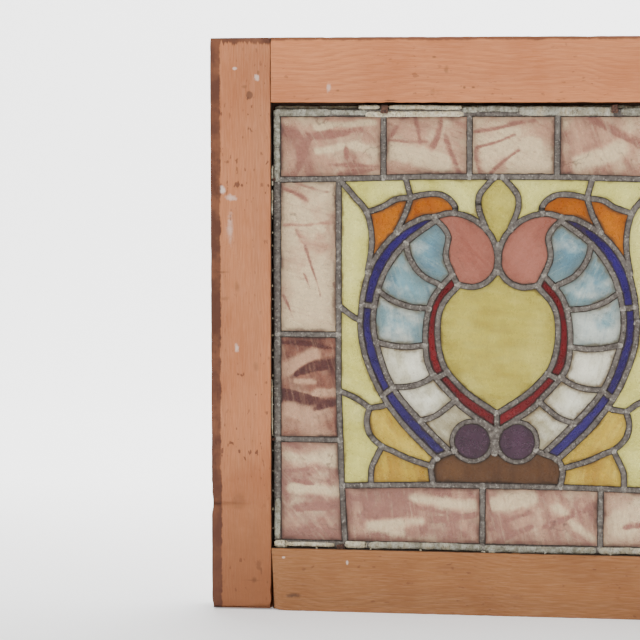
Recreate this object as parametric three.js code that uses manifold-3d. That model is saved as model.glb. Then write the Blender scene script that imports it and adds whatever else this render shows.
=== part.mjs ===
// Stained-glass window: a leaded light in a pine sash, with its old putty.
//
// Sizes are in millimetres and +Z is up. The front, where the putty was, faces -Y. The origin is the
// middle of the sash's bottom edge, halfway through its thickness. Every lead line is given for the left
// half as a few points [x, z] along its middle, and the right half is its mirror image, as a glazier turns
// a pattern over.

import * as THREE from 'three';
import { mergeVertices } from 'three/addons/utils/BufferGeometryUtils.js';
import Module from 'manifold-3d';

const wasm = await Module();
wasm.setup();

// ---------------------------------------------------------------- driving dimensions

// Sash
const SASH_WIDTH = 578;
const SASH_HEIGHT = 580;
const SASH_THICKNESS = 35;
const STILE_WIDTH = 61;
const TOP_RAIL_HEIGHT = 65;
const BOTTOM_RAIL_HEIGHT = 64;
const JOINT_GAP = 0.3; // between the shoulders and cheeks of the joints
const OPEN_SHOULDER = 2.6; // how far the lower left joint has opened at its foot

// Rabbet for the panel, open to the front, with a lip behind it
const PANEL_SETBACK = 8; // from the sash's face to the face of the lead
const LIP_WIDTH = 8;
const BED_THICKNESS = 2; // room for putty behind the panel

// Tenons, stopped inside the stiles
const TENON_LENGTH = 42;
const TENON_THICKNESS = 12;
const TENON_HEIGHT = 42;

// Lead cames: an H in section, with a thin heart between two flanges
const CAME_DEPTH = 6;
const CAME_WIDTH = 6;
const EDGE_CAME_WIDTH = 8;
const RING_CAME_WIDTH = 5;
const HEART_THICKNESS = 1.6;
const ROUNDEL_JOINT = 5; // solid solder between the two round leads
const FLANGE_THICKNESS = 1.2;

// Glass, loose in the cames by a thin film of cement
const GLASS_THICKNESS = 3;
const CEMENT_GAP = 0.3;

// How far a facet may lie inside the true curve of a lead
const FACET_DEVIATION = 0.8;

// Nails that hold the panel in the rabbet: their sizes, and where the middles of the left-hand ones are
const NAIL_SIZE = 7;
const BRAD_SIZE = 4;
const NAIL_THICKNESS = 4;
const NAIL_BITE = 2; // how far a nail is driven into the wood
const TOP_NAIL = [-114, 509];
const BOTTOM_NAIL = [-157, 66];
const BRAD_X = -226;
const BRAD_HEIGHTS = [438, 176];

// What is left of the front putty, between the top rail and the lead
const PUTTY_GAP = 0.3; // from the wood and the lead that it lies against
const REMAINS = { left: -148, right: -50, bottom: 509, front: -13 };
const BED_INSET = 1; // how far the bed behind the panel keeps back from the lip's edge

// How far a cutter runs on past what it cuts
const OVERRUN = 1;

// ---------------------------------------------------------------- derived places

const SASH_EDGE = SASH_WIDTH / 2;
const SASH_FRONT = -SASH_THICKNESS / 2;
const SASH_BACK = SASH_THICKNESS / 2;
const OPENING_EDGE = SASH_EDGE - STILE_WIDTH;
const OPENING_TOP = SASH_HEIGHT - TOP_RAIL_HEIGHT;
const OPENING_BOTTOM = BOTTOM_RAIL_HEIGHT;

const CAME_FRONT = SASH_FRONT + PANEL_SETBACK;
const CAME_BACK = CAME_FRONT + CAME_DEPTH;
const RABBET_FLOOR = CAME_BACK + BED_THICKNESS;
const PANEL_MIDDLE = (CAME_FRONT + CAME_BACK) / 2;

// Middle lines of the lead round the panel's edge
const EDGE_LEAD_X = 222.5;
const EDGE_LEAD_TOP = 505;
const EDGE_LEAD_BOTTOM = 68;

// ---------------------------------------------------------------- solids

// A three.js geometry as a solid that can be cut and joined.
const MERGE_DISTANCE = 1e-4;
function solid(geometry) {
  const bare = geometry.clone();
  bare.deleteAttribute('normal');
  bare.deleteAttribute('uv');
  const merged = mergeVertices(bare, MERGE_DISTANCE);
  return new wasm.Manifold(new wasm.Mesh({
    numProp: 3,
    vertProperties: merged.attributes.position.array,
    triVerts: new Uint32Array(merged.index.array),
  }));
}

// A flat outline of Vector2(x, z) given depth from front to back.
function prism(outline, front, back) {
  const geometry = new THREE.ExtrudeGeometry(new THREE.Shape(outline), {
    depth: back - front,
    bevelEnabled: false,
  });
  geometry.rotateX(Math.PI / 2);
  geometry.translate(0, back, 0);
  return solid(geometry);
}

// A box from its low and high corners.
function block(low, high) {
  const size = high.map((value, axis) => value - low[axis]);
  const geometry = new THREE.BoxGeometry(...size);
  geometry.translate(...low.map((value, axis) => value + size[axis] / 2));
  return solid(geometry);
}

function joined(solids) {
  return solids.reduce((sum, next) => sum.add(next));
}

function named(name, body, material) {
  const { vertProperties, triVerts } = body.getMesh();
  const geometry = new THREE.BufferGeometry();
  geometry.setAttribute('position', new THREE.BufferAttribute(vertProperties, 3));
  geometry.setIndex(new THREE.BufferAttribute(triVerts, 1));
  geometry.computeVertexNormals();
  const mesh = new THREE.Mesh(geometry, material);
  mesh.name = name;
  return mesh;
}

// ---------------------------------------------------------------- leads

// Keeps only the points that a line needs to stay within the facet deviation.
function thinned(points) {
  const first = points[0];
  const last = points[points.length - 1];
  const chord = last.clone().sub(first);
  let farthest = 0;
  let distance = 0;
  points.forEach((point, index) => {
    const off = point.clone().sub(first);
    const along = THREE.MathUtils.clamp(off.dot(chord) / chord.lengthSq(), 0, 1);
    const gap = off.sub(chord.clone().multiplyScalar(along)).length();
    if (gap > distance) {
      distance = gap;
      farthest = index;
    }
  });
  if (distance < FACET_DEVIATION) return [first, last];
  const before = thinned(points.slice(0, farthest + 1));
  const after = thinned(points.slice(farthest));
  return [...before, ...after.slice(1)];
}

// The nearest point on a lead's middle line.
function nearest(point, line) {
  let best = line[0];
  for (let i = 1; i < line.length; i += 1) {
    const start = line[i - 1];
    const run = line[i].clone().sub(start);
    const along = THREE.MathUtils.clamp(point.clone().sub(start).dot(run) / run.lengthSq(), 0, 1);
    const foot = start.clone().add(run.multiplyScalar(along));
    if (foot.distanceTo(point) < best.distanceTo(point)) best = foot;
  }
  return best;
}

const leads = new Map();

// Lays one came along a list of points. Straight runs keep their corners and bent ones are drawn as a
// smooth curve. Where it butts on a came laid before it, from and to name that one. A tie over a whole
// strip of glass is all flange, so its heart is 0.
const STEPS_PER_POINT = 12;
function lay(name, points, options = {}) {
  const { straight = points.length === 2, from, to, width = CAME_WIDTH, heart = HEART_THICKNESS } = options;
  const corners = points.map(([x, z]) => new THREE.Vector2(x, z));
  const steps = STEPS_PER_POINT * corners.length;
  const line = straight ? corners : new THREE.SplineCurve(corners).getPoints(steps);
  if (from) line[0] = nearest(line[0], leads.get(from).line);
  if (to) line[line.length - 1] = nearest(line[line.length - 1], leads.get(to).line);
  leads.set(name, { line: straight ? line : thinned(line), width, heart });
}

const HANDS = [
  { hand: 'left', sign: 1 },
  { hand: 'right', sign: -1 },
];

// Lays a came on the left half and its mirror image on the right.
function layPair(name, points, options = {}) {
  for (const { hand, sign } of HANDS) {
    const own = (other) => (leads.has(`${other}_${hand}`) ? `${other}_${hand}` : other);
    const ends = {};
    if (options.from) ends.from = own(options.from);
    if (options.to) ends.to = own(options.to);
    lay(`${name}_${hand}`, points.map(([x, z]) => [sign * x, z]), { ...options, ...ends });
  }
}

// The edge of the panel
const EDGE = { width: EDGE_CAME_WIDTH };
lay('edge_left', [[-EDGE_LEAD_X, EDGE_LEAD_BOTTOM], [-EDGE_LEAD_X, EDGE_LEAD_TOP]], EDGE);
lay('edge_right', [[EDGE_LEAD_X, EDGE_LEAD_BOTTOM], [EDGE_LEAD_X, EDGE_LEAD_TOP]], EDGE);
lay('edge_top', [[-EDGE_LEAD_X, EDGE_LEAD_TOP], [EDGE_LEAD_X, EDGE_LEAD_TOP]], EDGE);
lay('edge_bottom', [[-EDGE_LEAD_X, EDGE_LEAD_BOTTOM], [EDGE_LEAD_X, EDGE_LEAD_BOTTOM]], EDGE);

// The field inside the border, where each long lead runs on past one corner of the next
const STRAIGHT = { straight: true };
lay('field_top', [[-222.5, 438], [-160, 439], [-68, 441.5], [68, 441.5], [160, 439]], {
  ...STRAIGHT,
  from: 'edge_left',
});
lay('field_side_left', [[-160, 439], [-160, 230], [-156.5, 128.5], [-153, 68]], {
  ...STRAIGHT,
  to: 'edge_bottom',
});
lay('field_side_right', [[160, 505], [160, 439], [160, 230], [156.5, 129]], {
  ...STRAIGHT,
  from: 'edge_top',
});
lay('field_bottom', [[-156.5, 128.5], [-67, 131], [67, 131], [156.5, 129], [222.5, 130]], {
  ...STRAIGHT,
  to: 'edge_right',
});

// Ties across the border
const TOP_TIES = [-115, -29, 58];
const BOTTOM_TIES = [-14, 104];
const LEFT_TIES = [282, 175];
const RIGHT_TIES = [396, 289];
TOP_TIES.forEach((x, i) => {
  lay(`top_tie_${i + 1}`, [[x, 505], [x, 441]], { from: 'edge_top', to: 'field_top' });
});
BOTTOM_TIES.forEach((x, i) => {
  lay(`bottom_tie_${i + 1}`, [[x, 68], [x, 131]], { from: 'edge_bottom', to: 'field_bottom' });
});
LEFT_TIES.forEach((z, i) => {
  lay(`left_tie_${i + 1}`, [[-222.5, z], [-160, z]], { from: 'edge_left', to: 'field_side_left' });
});
RIGHT_TIES.forEach((z, i) => {
  lay(`right_tie_${i + 1}`, [[222.5, z], [160, z]], { from: 'edge_right', to: 'field_side_right' });
});

// The scrolls at the top of the heart
layPair('scroll_back', [
  [-64, 401], [-49, 405], [-34, 403], [-20, 396], [-8, 384], [-1.5, 368], [-1.5, 350],
  [-10, 337.5], [-24, 331.5], [-40, 333.5],
]);
layPair('scroll_hollow', [
  [-63.5, 399.5], [-54, 390], [-49.7, 381], [-51.5, 370], [-52, 361], [-48.5, 350.5], [-41, 335],
], {
  from: 'scroll_back',
  to: 'scroll_back',
});

// The two dark roundels under the heart, set by hand a little to the left
const ROUNDEL_MIDDLES = { left: [-24.7, 176], right: [20.2, 176] };
const ROUNDEL_LEAD_RADIUS = 20.2;
const ROUNDEL_SIDES = 14;
function circle(x, z, radius) {
  return new THREE.EllipseCurve(x, z, radius, radius).getPoints(ROUNDEL_SIDES);
}
for (const [hand, [x, z]] of Object.entries(ROUNDEL_MIDDLES)) {
  leads.set(`roundel_${hand}`, {
    line: circle(x, z, ROUNDEL_LEAD_RADIUS),
    width: RING_CAME_WIDTH,
    heart: HEART_THICKNESS,
    ring: { x, z },
  });
}

// The rounded end of the brown base, and the crescent's two long leads that run down to it
layPair('base_end', [[-43, 166], [-54, 162], [-62, 157.5], [-66, 149], [-65.5, 141], [-63.5, 131]], {
  from: 'roundel',
  to: 'field_bottom',
});
layPair('crescent_outer', [
  [-64, 401], [-78, 399], [-105, 382], [-127, 352], [-137, 310], [-136, 273], [-121, 231],
  [-96, 194], [-59, 157],
], { from: 'scroll_back', to: 'base_end' });
layPair('crescent_rim', [
  [-62, 398], [-88, 379], [-105, 360], [-118, 335], [-125, 300], [-121, 271], [-105, 229],
  [-74, 192], [-46, 164],
], { from: 'scroll_hollow', to: 'roundel' });

// The heart's lead, and the throat lead that runs beside it down to the point of the V
layPair('heart_side', [
  [-39, 333], [-53, 317], [-59, 302], [-60, 280], [-56, 258], [-48, 243], [-28, 223], [0, 204.5],
], {
  from: 'scroll_back',
});
layPair('throat', [
  [-46, 343], [-60, 327.5], [-68, 312], [-72, 290], [-72, 269], [-69, 252], [-61.5, 239],
  [-46, 222], [-33, 208.5], [0, 186.5],
], { from: 'scroll_hollow' });
lay('heart_point', [[0, 205], [0, 186]]);
lay('scroll_joint', [[0, 374], [0, 346]]);
lay('roundel_joint', [[-2.2, 190], [-2.2, 164]], { heart: ROUNDEL_JOINT });

// Ties between the six opal panes of the crescent
layPair('crescent_tie_1', [
  [-92, 375], [-88, 359], [-76, 343], [-59, 334],
], { from: 'crescent_rim', to: 'throat' });
layPair('crescent_tie_2', [
  [-120, 327], [-108, 318.5], [-90, 311.5], [-70, 309.5],
], { from: 'crescent_rim', to: 'throat' });
layPair('crescent_tie_3', [
  [-121, 275], [-106, 271.5], [-90, 270.5], [-72, 272.5],
], { from: 'crescent_rim', to: 'throat' });
layPair('crescent_tie_4', [
  [-104, 229.5], [-88, 230.5], [-74, 235], [-64, 241.5],
], { from: 'crescent_rim', to: 'throat' });
layPair('crescent_tie_5', [
  [-77, 195.5], [-62, 201], [-50, 210], [-42, 217],
], { from: 'crescent_rim', to: 'throat' });

// Ties over the narrow strips, which are one piece of glass in this model for each colour and hand
const OVER = { heart: 0 };
layPair('cobalt_tie_1', [
  [-137, 313], [-123.5, 311],
], { ...OVER, from: 'crescent_outer', to: 'crescent_rim' });
layPair('cobalt_tie_2', [
  [-116, 220.5], [-103.5, 230],
], { ...OVER, from: 'crescent_outer', to: 'crescent_rim' });
layPair('red_tie', [[-62, 239], [-49, 246]], { ...OVER, from: 'throat', to: 'heart_side' });

// The gold drop hung from the top lead
layPair('drop_side', [[-4, 441], [-12.5, 432], [-19, 423], [-19.8, 411], [-16, 399.5], [-12, 390]], {
  from: 'field_top',
  to: 'scroll_back',
});

// The lead from the field's corner, and the two orange petals beside it
layPair('corner_stem', [
  [-160, 439], [-144, 421], [-132.5, 407], [-127.5, 389], [-127, 370], [-131, 345],
], {
  to: 'crescent_outer',
});
layPair('petal_outer_edge', [
  [-131, 406], [-116, 411], [-103, 418.5], [-87.5, 420.5],
], { from: 'corner_stem' });
layPair('petal_inner_edge', [
  [-87.5, 420.5], [-75, 423.5], [-60, 424], [-49, 419], [-43, 411], [-44, 404],
], {
  to: 'scroll_back',
});
layPair('petal_tie', [[-93, 441], [-87.5, 420.5]], { from: 'field_top' });
layPair('petal_parting', [[-87.5, 420.5], [-93, 404], [-102, 386]], { to: 'crescent_outer' });

// The pale ground beside the crescent, and the two amber petals below it
layPair('ground_joint_upper', [
  [-160, 311], [-144, 299.5], [-137, 297],
], { from: 'field_side', to: 'crescent_outer' });
layPair('ground_joint_lower', [[-159, 225], [-142, 217.5], [-128.5, 208]], { from: 'field_side' });
layPair('amber_top', [[-128.5, 208], [-113, 210.5]], { to: 'crescent_outer' });
layPair('amber_upper_edge', [
  [-128.5, 208], [-131.5, 195], [-128, 181], [-117, 170], [-106, 165], [-90, 157.5], [-66, 150],
], {
  to: 'base_end',
});
layPair('amber_lower_edge', [[-116, 169], [-122.5, 156], [-126.5, 146], [-127, 130]], {
  from: 'amber_upper_edge',
  to: 'field_bottom',
});

// ---------------------------------------------------------------- panes

// The outline of a band of the given width along a line, mitred at its bends and run on a little at its ends.
const BUTT = 0.4;
const MITRE_LIMIT = 0.5;
function band(line, width) {
  const left = [];
  const right = [];
  line.forEach((point, i) => {
    const before = line[Math.max(i - 1, 0)];
    const after = line[Math.min(i + 1, line.length - 1)];
    const into = point.clone().sub(before).normalize();
    const out = after.clone().sub(point).normalize();
    const along = into.clone().add(out).normalize();
    const across = new THREE.Vector2(-along.y, along.x);
    const bend = Math.max(along.dot(i === 0 ? out : into), MITRE_LIMIT);
    const reach = across.multiplyScalar(width / 2 / bend);
    const end = point.clone();
    if (i === 0) end.sub(out.clone().multiplyScalar(BUTT));
    if (i === line.length - 1) end.add(into.clone().multiplyScalar(BUTT));
    left.push(end.clone().add(reach));
    right.push(end.clone().sub(reach));
  });
  return [...left, ...right.reverse()];
}

// A lead of the given width, from front to back. A round one is a ring.
function strip({ line, ring }, width, front, back) {
  if (!ring) return prism(band(line, width), front, back);
  const disc = (radius) => prism(circle(ring.x, ring.z, radius).slice(0, -1), front, back);
  return disc(ROUNDEL_LEAD_RADIUS + width / 2).subtract(disc(ROUNDEL_LEAD_RADIUS - width / 2));
}

// A sheet over the whole panel, cut through along every lead, and given as its separate panes.
// widthOf says how wide each lead's cut is, and 0 leaves the sheet whole there.
function panes(front, back, widthOf) {
  const cuts = [...leads.values()]
    .filter((lead) => widthOf(lead) > 0)
    .map((lead) => strip(lead, widthOf(lead), front - OVERRUN, back + OVERRUN));
  const sheet = block([-EDGE_LEAD_X, front, EDGE_LEAD_BOTTOM], [EDGE_LEAD_X, back, EDGE_LEAD_TOP]);
  return sheet.subtract(joined(cuts)).decompose();
}

// Whether a point [x, z] lies on a pane's flat face.
const SMALLEST_FACE = 0.01;
function covers(pane, [x, z]) {
  const { vertProperties, triVerts } = pane.getMesh();
  const spot = new THREE.Vector3(x, z, 0);
  const corner = (vertex) => new THREE.Vector3(vertProperties[3 * vertex], vertProperties[3 * vertex + 2], 0);
  for (let t = 0; t < triVerts.length; t += 3) {
    const face = new THREE.Triangle(corner(triVerts[t]), corner(triVerts[t + 1]), corner(triVerts[t + 2]));
    if (face.getArea() > SMALLEST_FACE && face.containsPoint(spot)) return true;
  }
  return false;
}

const heartWidth = ({ heart }) => heart;
const glassCut = ({ heart }) => (heart ? heart + 2 * CEMENT_GAP : 0);
const flangeWidth = ({ width }) => width;

// Glass finishes
function glassFinish(color, roughness = 0.25) {
  return new THREE.MeshStandardMaterial({ color, roughness, metalness: 0 });
}
const FINISHES = {
  mauve: glassFinish('#c0a18d'),
  plum: glassFinish('#906d5f'),
  straw: glassFinish('#cfca97'),
  orange: glassFinish('#bb7a32'),
  cobalt: glassFinish('#42357f', 0.15),
  sky: glassFinish('#93abaf'),
  opal: glassFinish('#b9b5a4'),
  ruby: glassFinish('#712e31', 0.15),
  olive: glassFinish('#b4a96d'),
  salmon: glassFinish('#ab786a', 0.35),
  grape: glassFinish('#594252', 0.15),
  amber: glassFinish('#bfa96a'),
  umber: glassFinish('#745337', 0.35),
};

// Each pane: its name, finish, and a spot inside each of its daylight openings.
const MIDDLE_PANES = [
  ['heart', 'olive', [0, 280]],
  ['gold_drop', 'olive', [0, 410]],
  ['brown_base', 'umber', [0, 145]],
  ['roundel_left', 'grape', ROUNDEL_MIDDLES.left],
  ['roundel_right', 'grape', ROUNDEL_MIDDLES.right],
  ['border_top_1', 'mauve', [-170, 470]],
  ['border_top_2', 'mauve', [-70, 470]],
  ['border_top_3', 'mauve', [15, 470]],
  ['border_top_4', 'mauve', [110, 470]],
  ['border_right_1', 'mauve', [190, 450]],
  ['border_right_2', 'mauve', [190, 340]],
  ['border_right_3', 'mauve', [190, 210]],
  ['border_bottom_1', 'mauve', [-80, 100]],
  ['border_bottom_2', 'mauve', [50, 100]],
  ['border_bottom_3', 'mauve', [160, 100]],
  ['border_left_1', 'mauve', [-190, 360]],
  ['border_left_2', 'plum', [-190, 230]],
  ['border_left_3', 'mauve', [-190, 120]],
];
const PAIRED_PANES = [
  ['scroll', 'salmon', [-28, 370]],
  ['cobalt_strip', 'cobalt', [-111.5, 363.5], [-128.5, 272], [-87.5, 196]],
  ['ruby_strip', 'ruby', [-66, 290], [-38, 223]],
  ['crescent_1', 'sky', [-70, 365]],
  ['crescent_2', 'sky', [-95, 330]],
  ['crescent_3', 'sky', [-97, 290]],
  ['crescent_4', 'opal', [-93, 250]],
  ['crescent_5', 'opal', [-72, 215]],
  ['crescent_6', 'opal', [-53, 190]],
  ['petal_outer', 'orange', [-112, 398]],
  ['petal_inner', 'orange', [-68, 412]],
  ['amber_upper', 'amber', [-105, 185]],
  ['amber_lower', 'amber', [-95, 145]],
  ['ground_top_outer', 'straw', [-115, 428]],
  ['ground_top_inner', 'straw', [-30, 425]],
  ['ground_side_upper', 'straw', [-145, 370]],
  ['ground_side_middle', 'straw', [-148, 260]],
  ['ground_side_lower', 'straw', [-145, 165]],
];
const PANES = [
  ...MIDDLE_PANES.map(([name, finish, ...spots]) => ({ name, finish, spots })),
  ...PAIRED_PANES.flatMap(([name, finish, ...spots]) => HANDS.map(({ hand, sign }) => ({
    name: `${name}_${hand}`,
    finish,
    spots: spots.map(([x, z]) => [sign * x, z]),
  }))),
];

const glassFront = PANEL_MIDDLE - GLASS_THICKNESS / 2;
const glassBack = PANEL_MIDDLE + GLASS_THICKNESS / 2;
const glassSheet = panes(glassFront, glassBack, glassCut);

const glass = PANES.map(({ name, finish, spots }) => {
  const pane = glassSheet.find((candidate) => covers(candidate, spots[0]));
  return named(`glass_${name}`, pane, FINISHES[finish]);
});

// The lead: a solid plate with a pocket for each pane and a daylight opening through both flanges.
const pocketSheet = panes(CAME_FRONT + FLANGE_THICKNESS, CAME_BACK - FLANGE_THICKNESS, heartWidth);
const daylightSheet = panes(CAME_FRONT - OVERRUN, CAME_BACK + OVERRUN, flangeWidth);
const openings = PANES.flatMap(({ spots }) => [
  pocketSheet.find((candidate) => covers(candidate, spots[0])),
  ...spots.map((spot) => daylightSheet.find((candidate) => covers(candidate, spot))),
]);
const EDGE_OUT = EDGE_CAME_WIDTH / 2;
const plate = block(
  [-EDGE_LEAD_X - EDGE_OUT, CAME_FRONT, EDGE_LEAD_BOTTOM - EDGE_OUT],
  [EDGE_LEAD_X + EDGE_OUT, CAME_BACK, EDGE_LEAD_TOP + EDGE_OUT],
);
const leadFinish = new THREE.MeshStandardMaterial({ color: '#7d746b', roughness: 0.6, metalness: 0.4 });
const leadwork = named('lead_cames', plate.subtract(joined(openings)), leadFinish);

// ---------------------------------------------------------------- sash

const woodFinish = new THREE.MeshStandardMaterial({ color: '#bb8d70', roughness: 0.8, metalness: 0 });

// A square iron nail in front of the lead, with its root in the wood. side is the way the wood lies from it.
function nail(x, z, size, side) {
  const half = size / 2;
  const low = [x - half, CAME_FRONT - CEMENT_GAP - NAIL_THICKNESS, z - half];
  const high = [x + half, CAME_FRONT - CEMENT_GAP, z + half];
  if (side === 'above') high[2] = OPENING_TOP + NAIL_BITE;
  if (side === 'below') low[2] = OPENING_BOTTOM - NAIL_BITE;
  if (side === 'left') low[0] = -OPENING_EDGE - NAIL_BITE;
  if (side === 'right') high[0] = OPENING_EDGE + NAIL_BITE;
  return block(low, high);
}

const tenonFront = -TENON_THICKNESS / 2;
const tenonBack = TENON_THICKNESS / 2;

// The tenon at one end of a rail, or the mortise for it when it is given some room.
function tenon(sign, middle, room) {
  const inner = sign * (OPENING_EDGE - LIP_WIDTH - OVERRUN);
  const outer = sign * (OPENING_EDGE + TENON_LENGTH + room);
  const half = TENON_HEIGHT / 2 + room;
  return block(
    [Math.min(inner, outer), tenonFront - room, middle - half],
    [Math.max(inner, outer), tenonBack + room, middle + half],
  );
}

const topTenonMiddle = SASH_HEIGHT - TOP_RAIL_HEIGHT / 2;
const bottomTenonMiddle = BOTTOM_RAIL_HEIGHT / 2;

// A stile runs the whole height, with the lip behind the panel along its inner edge.
function stile(sign, side) {
  const inner = sign * OPENING_EDGE;
  const outer = sign * SASH_EDGE;
  const lip = sign * (OPENING_EDGE - LIP_WIDTH);
  const post = block(
    [Math.min(inner, outer), SASH_FRONT, 0],
    [Math.max(inner, outer), SASH_BACK, SASH_HEIGHT],
  );
  const ledge = block(
    [Math.min(lip, outer), RABBET_FLOOR, 0],
    [Math.max(lip, outer), SASH_BACK, SASH_HEIGHT],
  );
  const brads = BRAD_HEIGHTS.map((z) => nail(-sign * BRAD_X, z, BRAD_SIZE, side));
  return joined([post, ledge, ...brads])
    .subtract(tenon(sign, topTenonMiddle, JOINT_GAP))
    .subtract(tenon(sign, bottomTenonMiddle, JOINT_GAP));
}

// A rail butts between the stiles: its front shoulders on their face edge, its back ones on their lips.
function rail(bottom, top, lipBottom, lipTop, tenonMiddle) {
  const front = OPENING_EDGE - JOINT_GAP;
  const back = OPENING_EDGE - LIP_WIDTH - JOINT_GAP;
  return joined([
    block([-front, SASH_FRONT, bottom], [front, RABBET_FLOOR - JOINT_GAP, top]),
    block([-back, SASH_FRONT, bottom], [back, SASH_BACK, top]),
    block([-back, RABBET_FLOOR, lipBottom], [back, SASH_BACK, lipTop]),
    tenon(-1, tenonMiddle, 0),
    tenon(1, tenonMiddle, 0),
  ]);
}

const [topNailX, topNailZ] = TOP_NAIL;
const [bottomNailX, bottomNailZ] = BOTTOM_NAIL;

const topRail = joined([
  rail(OPENING_TOP, SASH_HEIGHT, OPENING_TOP - LIP_WIDTH, SASH_HEIGHT, topTenonMiddle),
  nail(topNailX, topNailZ, NAIL_SIZE, 'above'),
  nail(-topNailX, topNailZ, NAIL_SIZE, 'above'),
]);

// The lower left joint has dropped open, so the shoulder is a long thin wedge away from the stile.
const WEDGE_TOP = OPENING_BOTTOM - 2;
const wedge = prism([
  new THREE.Vector2(-OPENING_EDGE - OVERRUN, -OVERRUN),
  new THREE.Vector2(-OPENING_EDGE + OPEN_SHOULDER, -OVERRUN),
  new THREE.Vector2(-OPENING_EDGE + JOINT_GAP, WEDGE_TOP),
  new THREE.Vector2(-OPENING_EDGE - OVERRUN, WEDGE_TOP),
], SASH_FRONT - OVERRUN, tenonFront - OVERRUN);

const bottomRail = joined([
  rail(0, OPENING_BOTTOM, 0, OPENING_BOTTOM + LIP_WIDTH, bottomTenonMiddle),
  nail(bottomNailX, bottomNailZ, NAIL_SIZE, 'below'),
  nail(-bottomNailX, bottomNailZ, NAIL_SIZE, 'below'),
]).subtract(wedge);

const sash = [
  named('stile_left', stile(-1, 'left'), woodFinish),
  named('stile_right', stile(1, 'right'), woodFinish),
  named('rail_top', topRail, woodFinish),
  named('rail_bottom', bottomRail, woodFinish),
];

// ---------------------------------------------------------------- putty

const puttyFinish = new THREE.MeshStandardMaterial({ color: '#c9bd9a', roughness: 0.9, metalness: 0 });

// The bed behind the panel is a thin frame on the lip.
const bedOutX = OPENING_EDGE - PUTTY_GAP;
const bedInX = OPENING_EDGE - LIP_WIDTH + BED_INSET;
const bedFront = CAME_BACK + PUTTY_GAP;
const bedBack = RABBET_FLOOR - PUTTY_GAP;
const bed = block(
  [-bedOutX, bedFront, OPENING_BOTTOM + PUTTY_GAP],
  [bedOutX, bedBack, OPENING_TOP - PUTTY_GAP],
).subtract(block(
  [-bedInX, bedFront - OVERRUN, OPENING_BOTTOM + LIP_WIDTH - BED_INSET],
  [bedInX, bedBack + OVERRUN, OPENING_TOP - LIP_WIDTH + BED_INSET],
));

// A stretch of the old front putty still stands on the bed, on both sides of the left-hand nail.
const remains = [
  [REMAINS.left, topNailX - NAIL_SIZE / 2 - PUTTY_GAP],
  [topNailX + NAIL_SIZE / 2 + PUTTY_GAP, REMAINS.right],
].map(([left, right]) => block(
  [left, REMAINS.front, REMAINS.bottom + PUTTY_GAP],
  [right, bedBack, OPENING_TOP - PUTTY_GAP],
));
const putty = named('putty', joined([bed, ...remains]), puttyFinish);

// ---------------------------------------------------------------- window

const stainedGlassWindow = new THREE.Group();
stainedGlassWindow.add(...sash, leadwork, ...glass, putty);

export default stainedGlassWindow;
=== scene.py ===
import math
import bmesh
import bpy
from mathutils import Matrix, Vector, kdtree, noise


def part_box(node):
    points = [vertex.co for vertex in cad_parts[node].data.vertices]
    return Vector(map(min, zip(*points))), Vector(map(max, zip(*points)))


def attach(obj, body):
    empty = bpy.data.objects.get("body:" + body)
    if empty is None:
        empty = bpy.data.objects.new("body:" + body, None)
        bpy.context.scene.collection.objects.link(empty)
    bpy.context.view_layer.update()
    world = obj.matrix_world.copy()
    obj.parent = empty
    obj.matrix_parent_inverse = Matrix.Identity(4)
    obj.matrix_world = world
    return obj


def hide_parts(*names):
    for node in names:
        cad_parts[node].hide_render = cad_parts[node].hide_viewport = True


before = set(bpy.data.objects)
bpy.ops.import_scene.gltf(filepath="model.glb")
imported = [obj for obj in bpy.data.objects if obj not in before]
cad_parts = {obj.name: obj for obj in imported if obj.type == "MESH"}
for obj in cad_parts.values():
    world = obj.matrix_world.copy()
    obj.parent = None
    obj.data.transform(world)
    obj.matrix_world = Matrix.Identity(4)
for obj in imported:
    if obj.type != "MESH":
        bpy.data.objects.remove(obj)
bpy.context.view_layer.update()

# ---------------------------------------------------------------- the room
# A plain pale sweep of paper that the window stands on, lit by two wide soft lamps and the pale room around it, and
# given a painted glow of its own that grows towards the back. The camera looks in from a little to the right and above.

camera = bpy.data.objects.new("camera", bpy.data.cameras.new("camera"))
bpy.context.collection.objects.link(camera)
camera.data.lens = 130.45
camera.data.sensor_width = 36.0
camera.location = (0.11165, -2.32146, 0.50057)
aim = Vector((-0.17779, -0.0175, 0.2975)) - camera.location
camera.rotation_euler = aim.to_track_quat("-Z", "Y").to_euler()
bpy.context.scene.camera = camera


def mesh_object(name, bm, material, smooth=True):
    """A finished piece from its bmesh, with its place in its mesh."""
    mesh = bpy.data.meshes.new(name)
    for face in bm.faces:
        face.smooth = smooth
    bm.to_mesh(mesh)
    bm.free()
    piece = bpy.data.objects.new(name, mesh)
    bpy.context.collection.objects.link(piece)
    mesh.materials.append(material)
    return piece


def plain_material(name):
    """A new node material and its Principled shader."""
    material = bpy.data.materials.new(name)
    material.use_nodes = True
    return material, material.node_tree, material.node_tree.nodes["Principled BSDF"]


paper, paper_tree, paper_shader = plain_material("paper")
paper_shader.inputs["Base Color"].default_value = (0.95, 0.95, 0.95, 1)
paper_shader.inputs["Roughness"].default_value = 0.9
# Painted glow: the paper emits light of its own, more strongly towards the back.
spot = paper_tree.nodes.new("ShaderNodeTexCoord")
parts = paper_tree.nodes.new("ShaderNodeSeparateXYZ")
paper_painted_glow = paper_tree.nodes.new("ShaderNodeMapRange")
paper_painted_glow.inputs["From Min"].default_value = -0.2
paper_painted_glow.inputs["From Max"].default_value = 0.8
paper_tree.links.new(spot.outputs["Object"], parts.inputs[0])
paper_tree.links.new(parts.outputs["Y"], paper_painted_glow.inputs["Value"])
paper_tree.links.new(paper_painted_glow.outputs["Result"], paper_shader.inputs["Emission Color"])
paper_shader.inputs["Emission Strength"].default_value = 1.5
sweep = bmesh.new()
edge = bmesh.ops.create_grid(sweep, x_segments=1, y_segments=1, size=3.0)["verts"]
bmesh.ops.translate(sweep, vec=(0, -1.6, 0), verts=edge)
back_edge = [e for e in sweep.edges if all(v.co.y > 1.3 for v in e.verts)]
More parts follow.
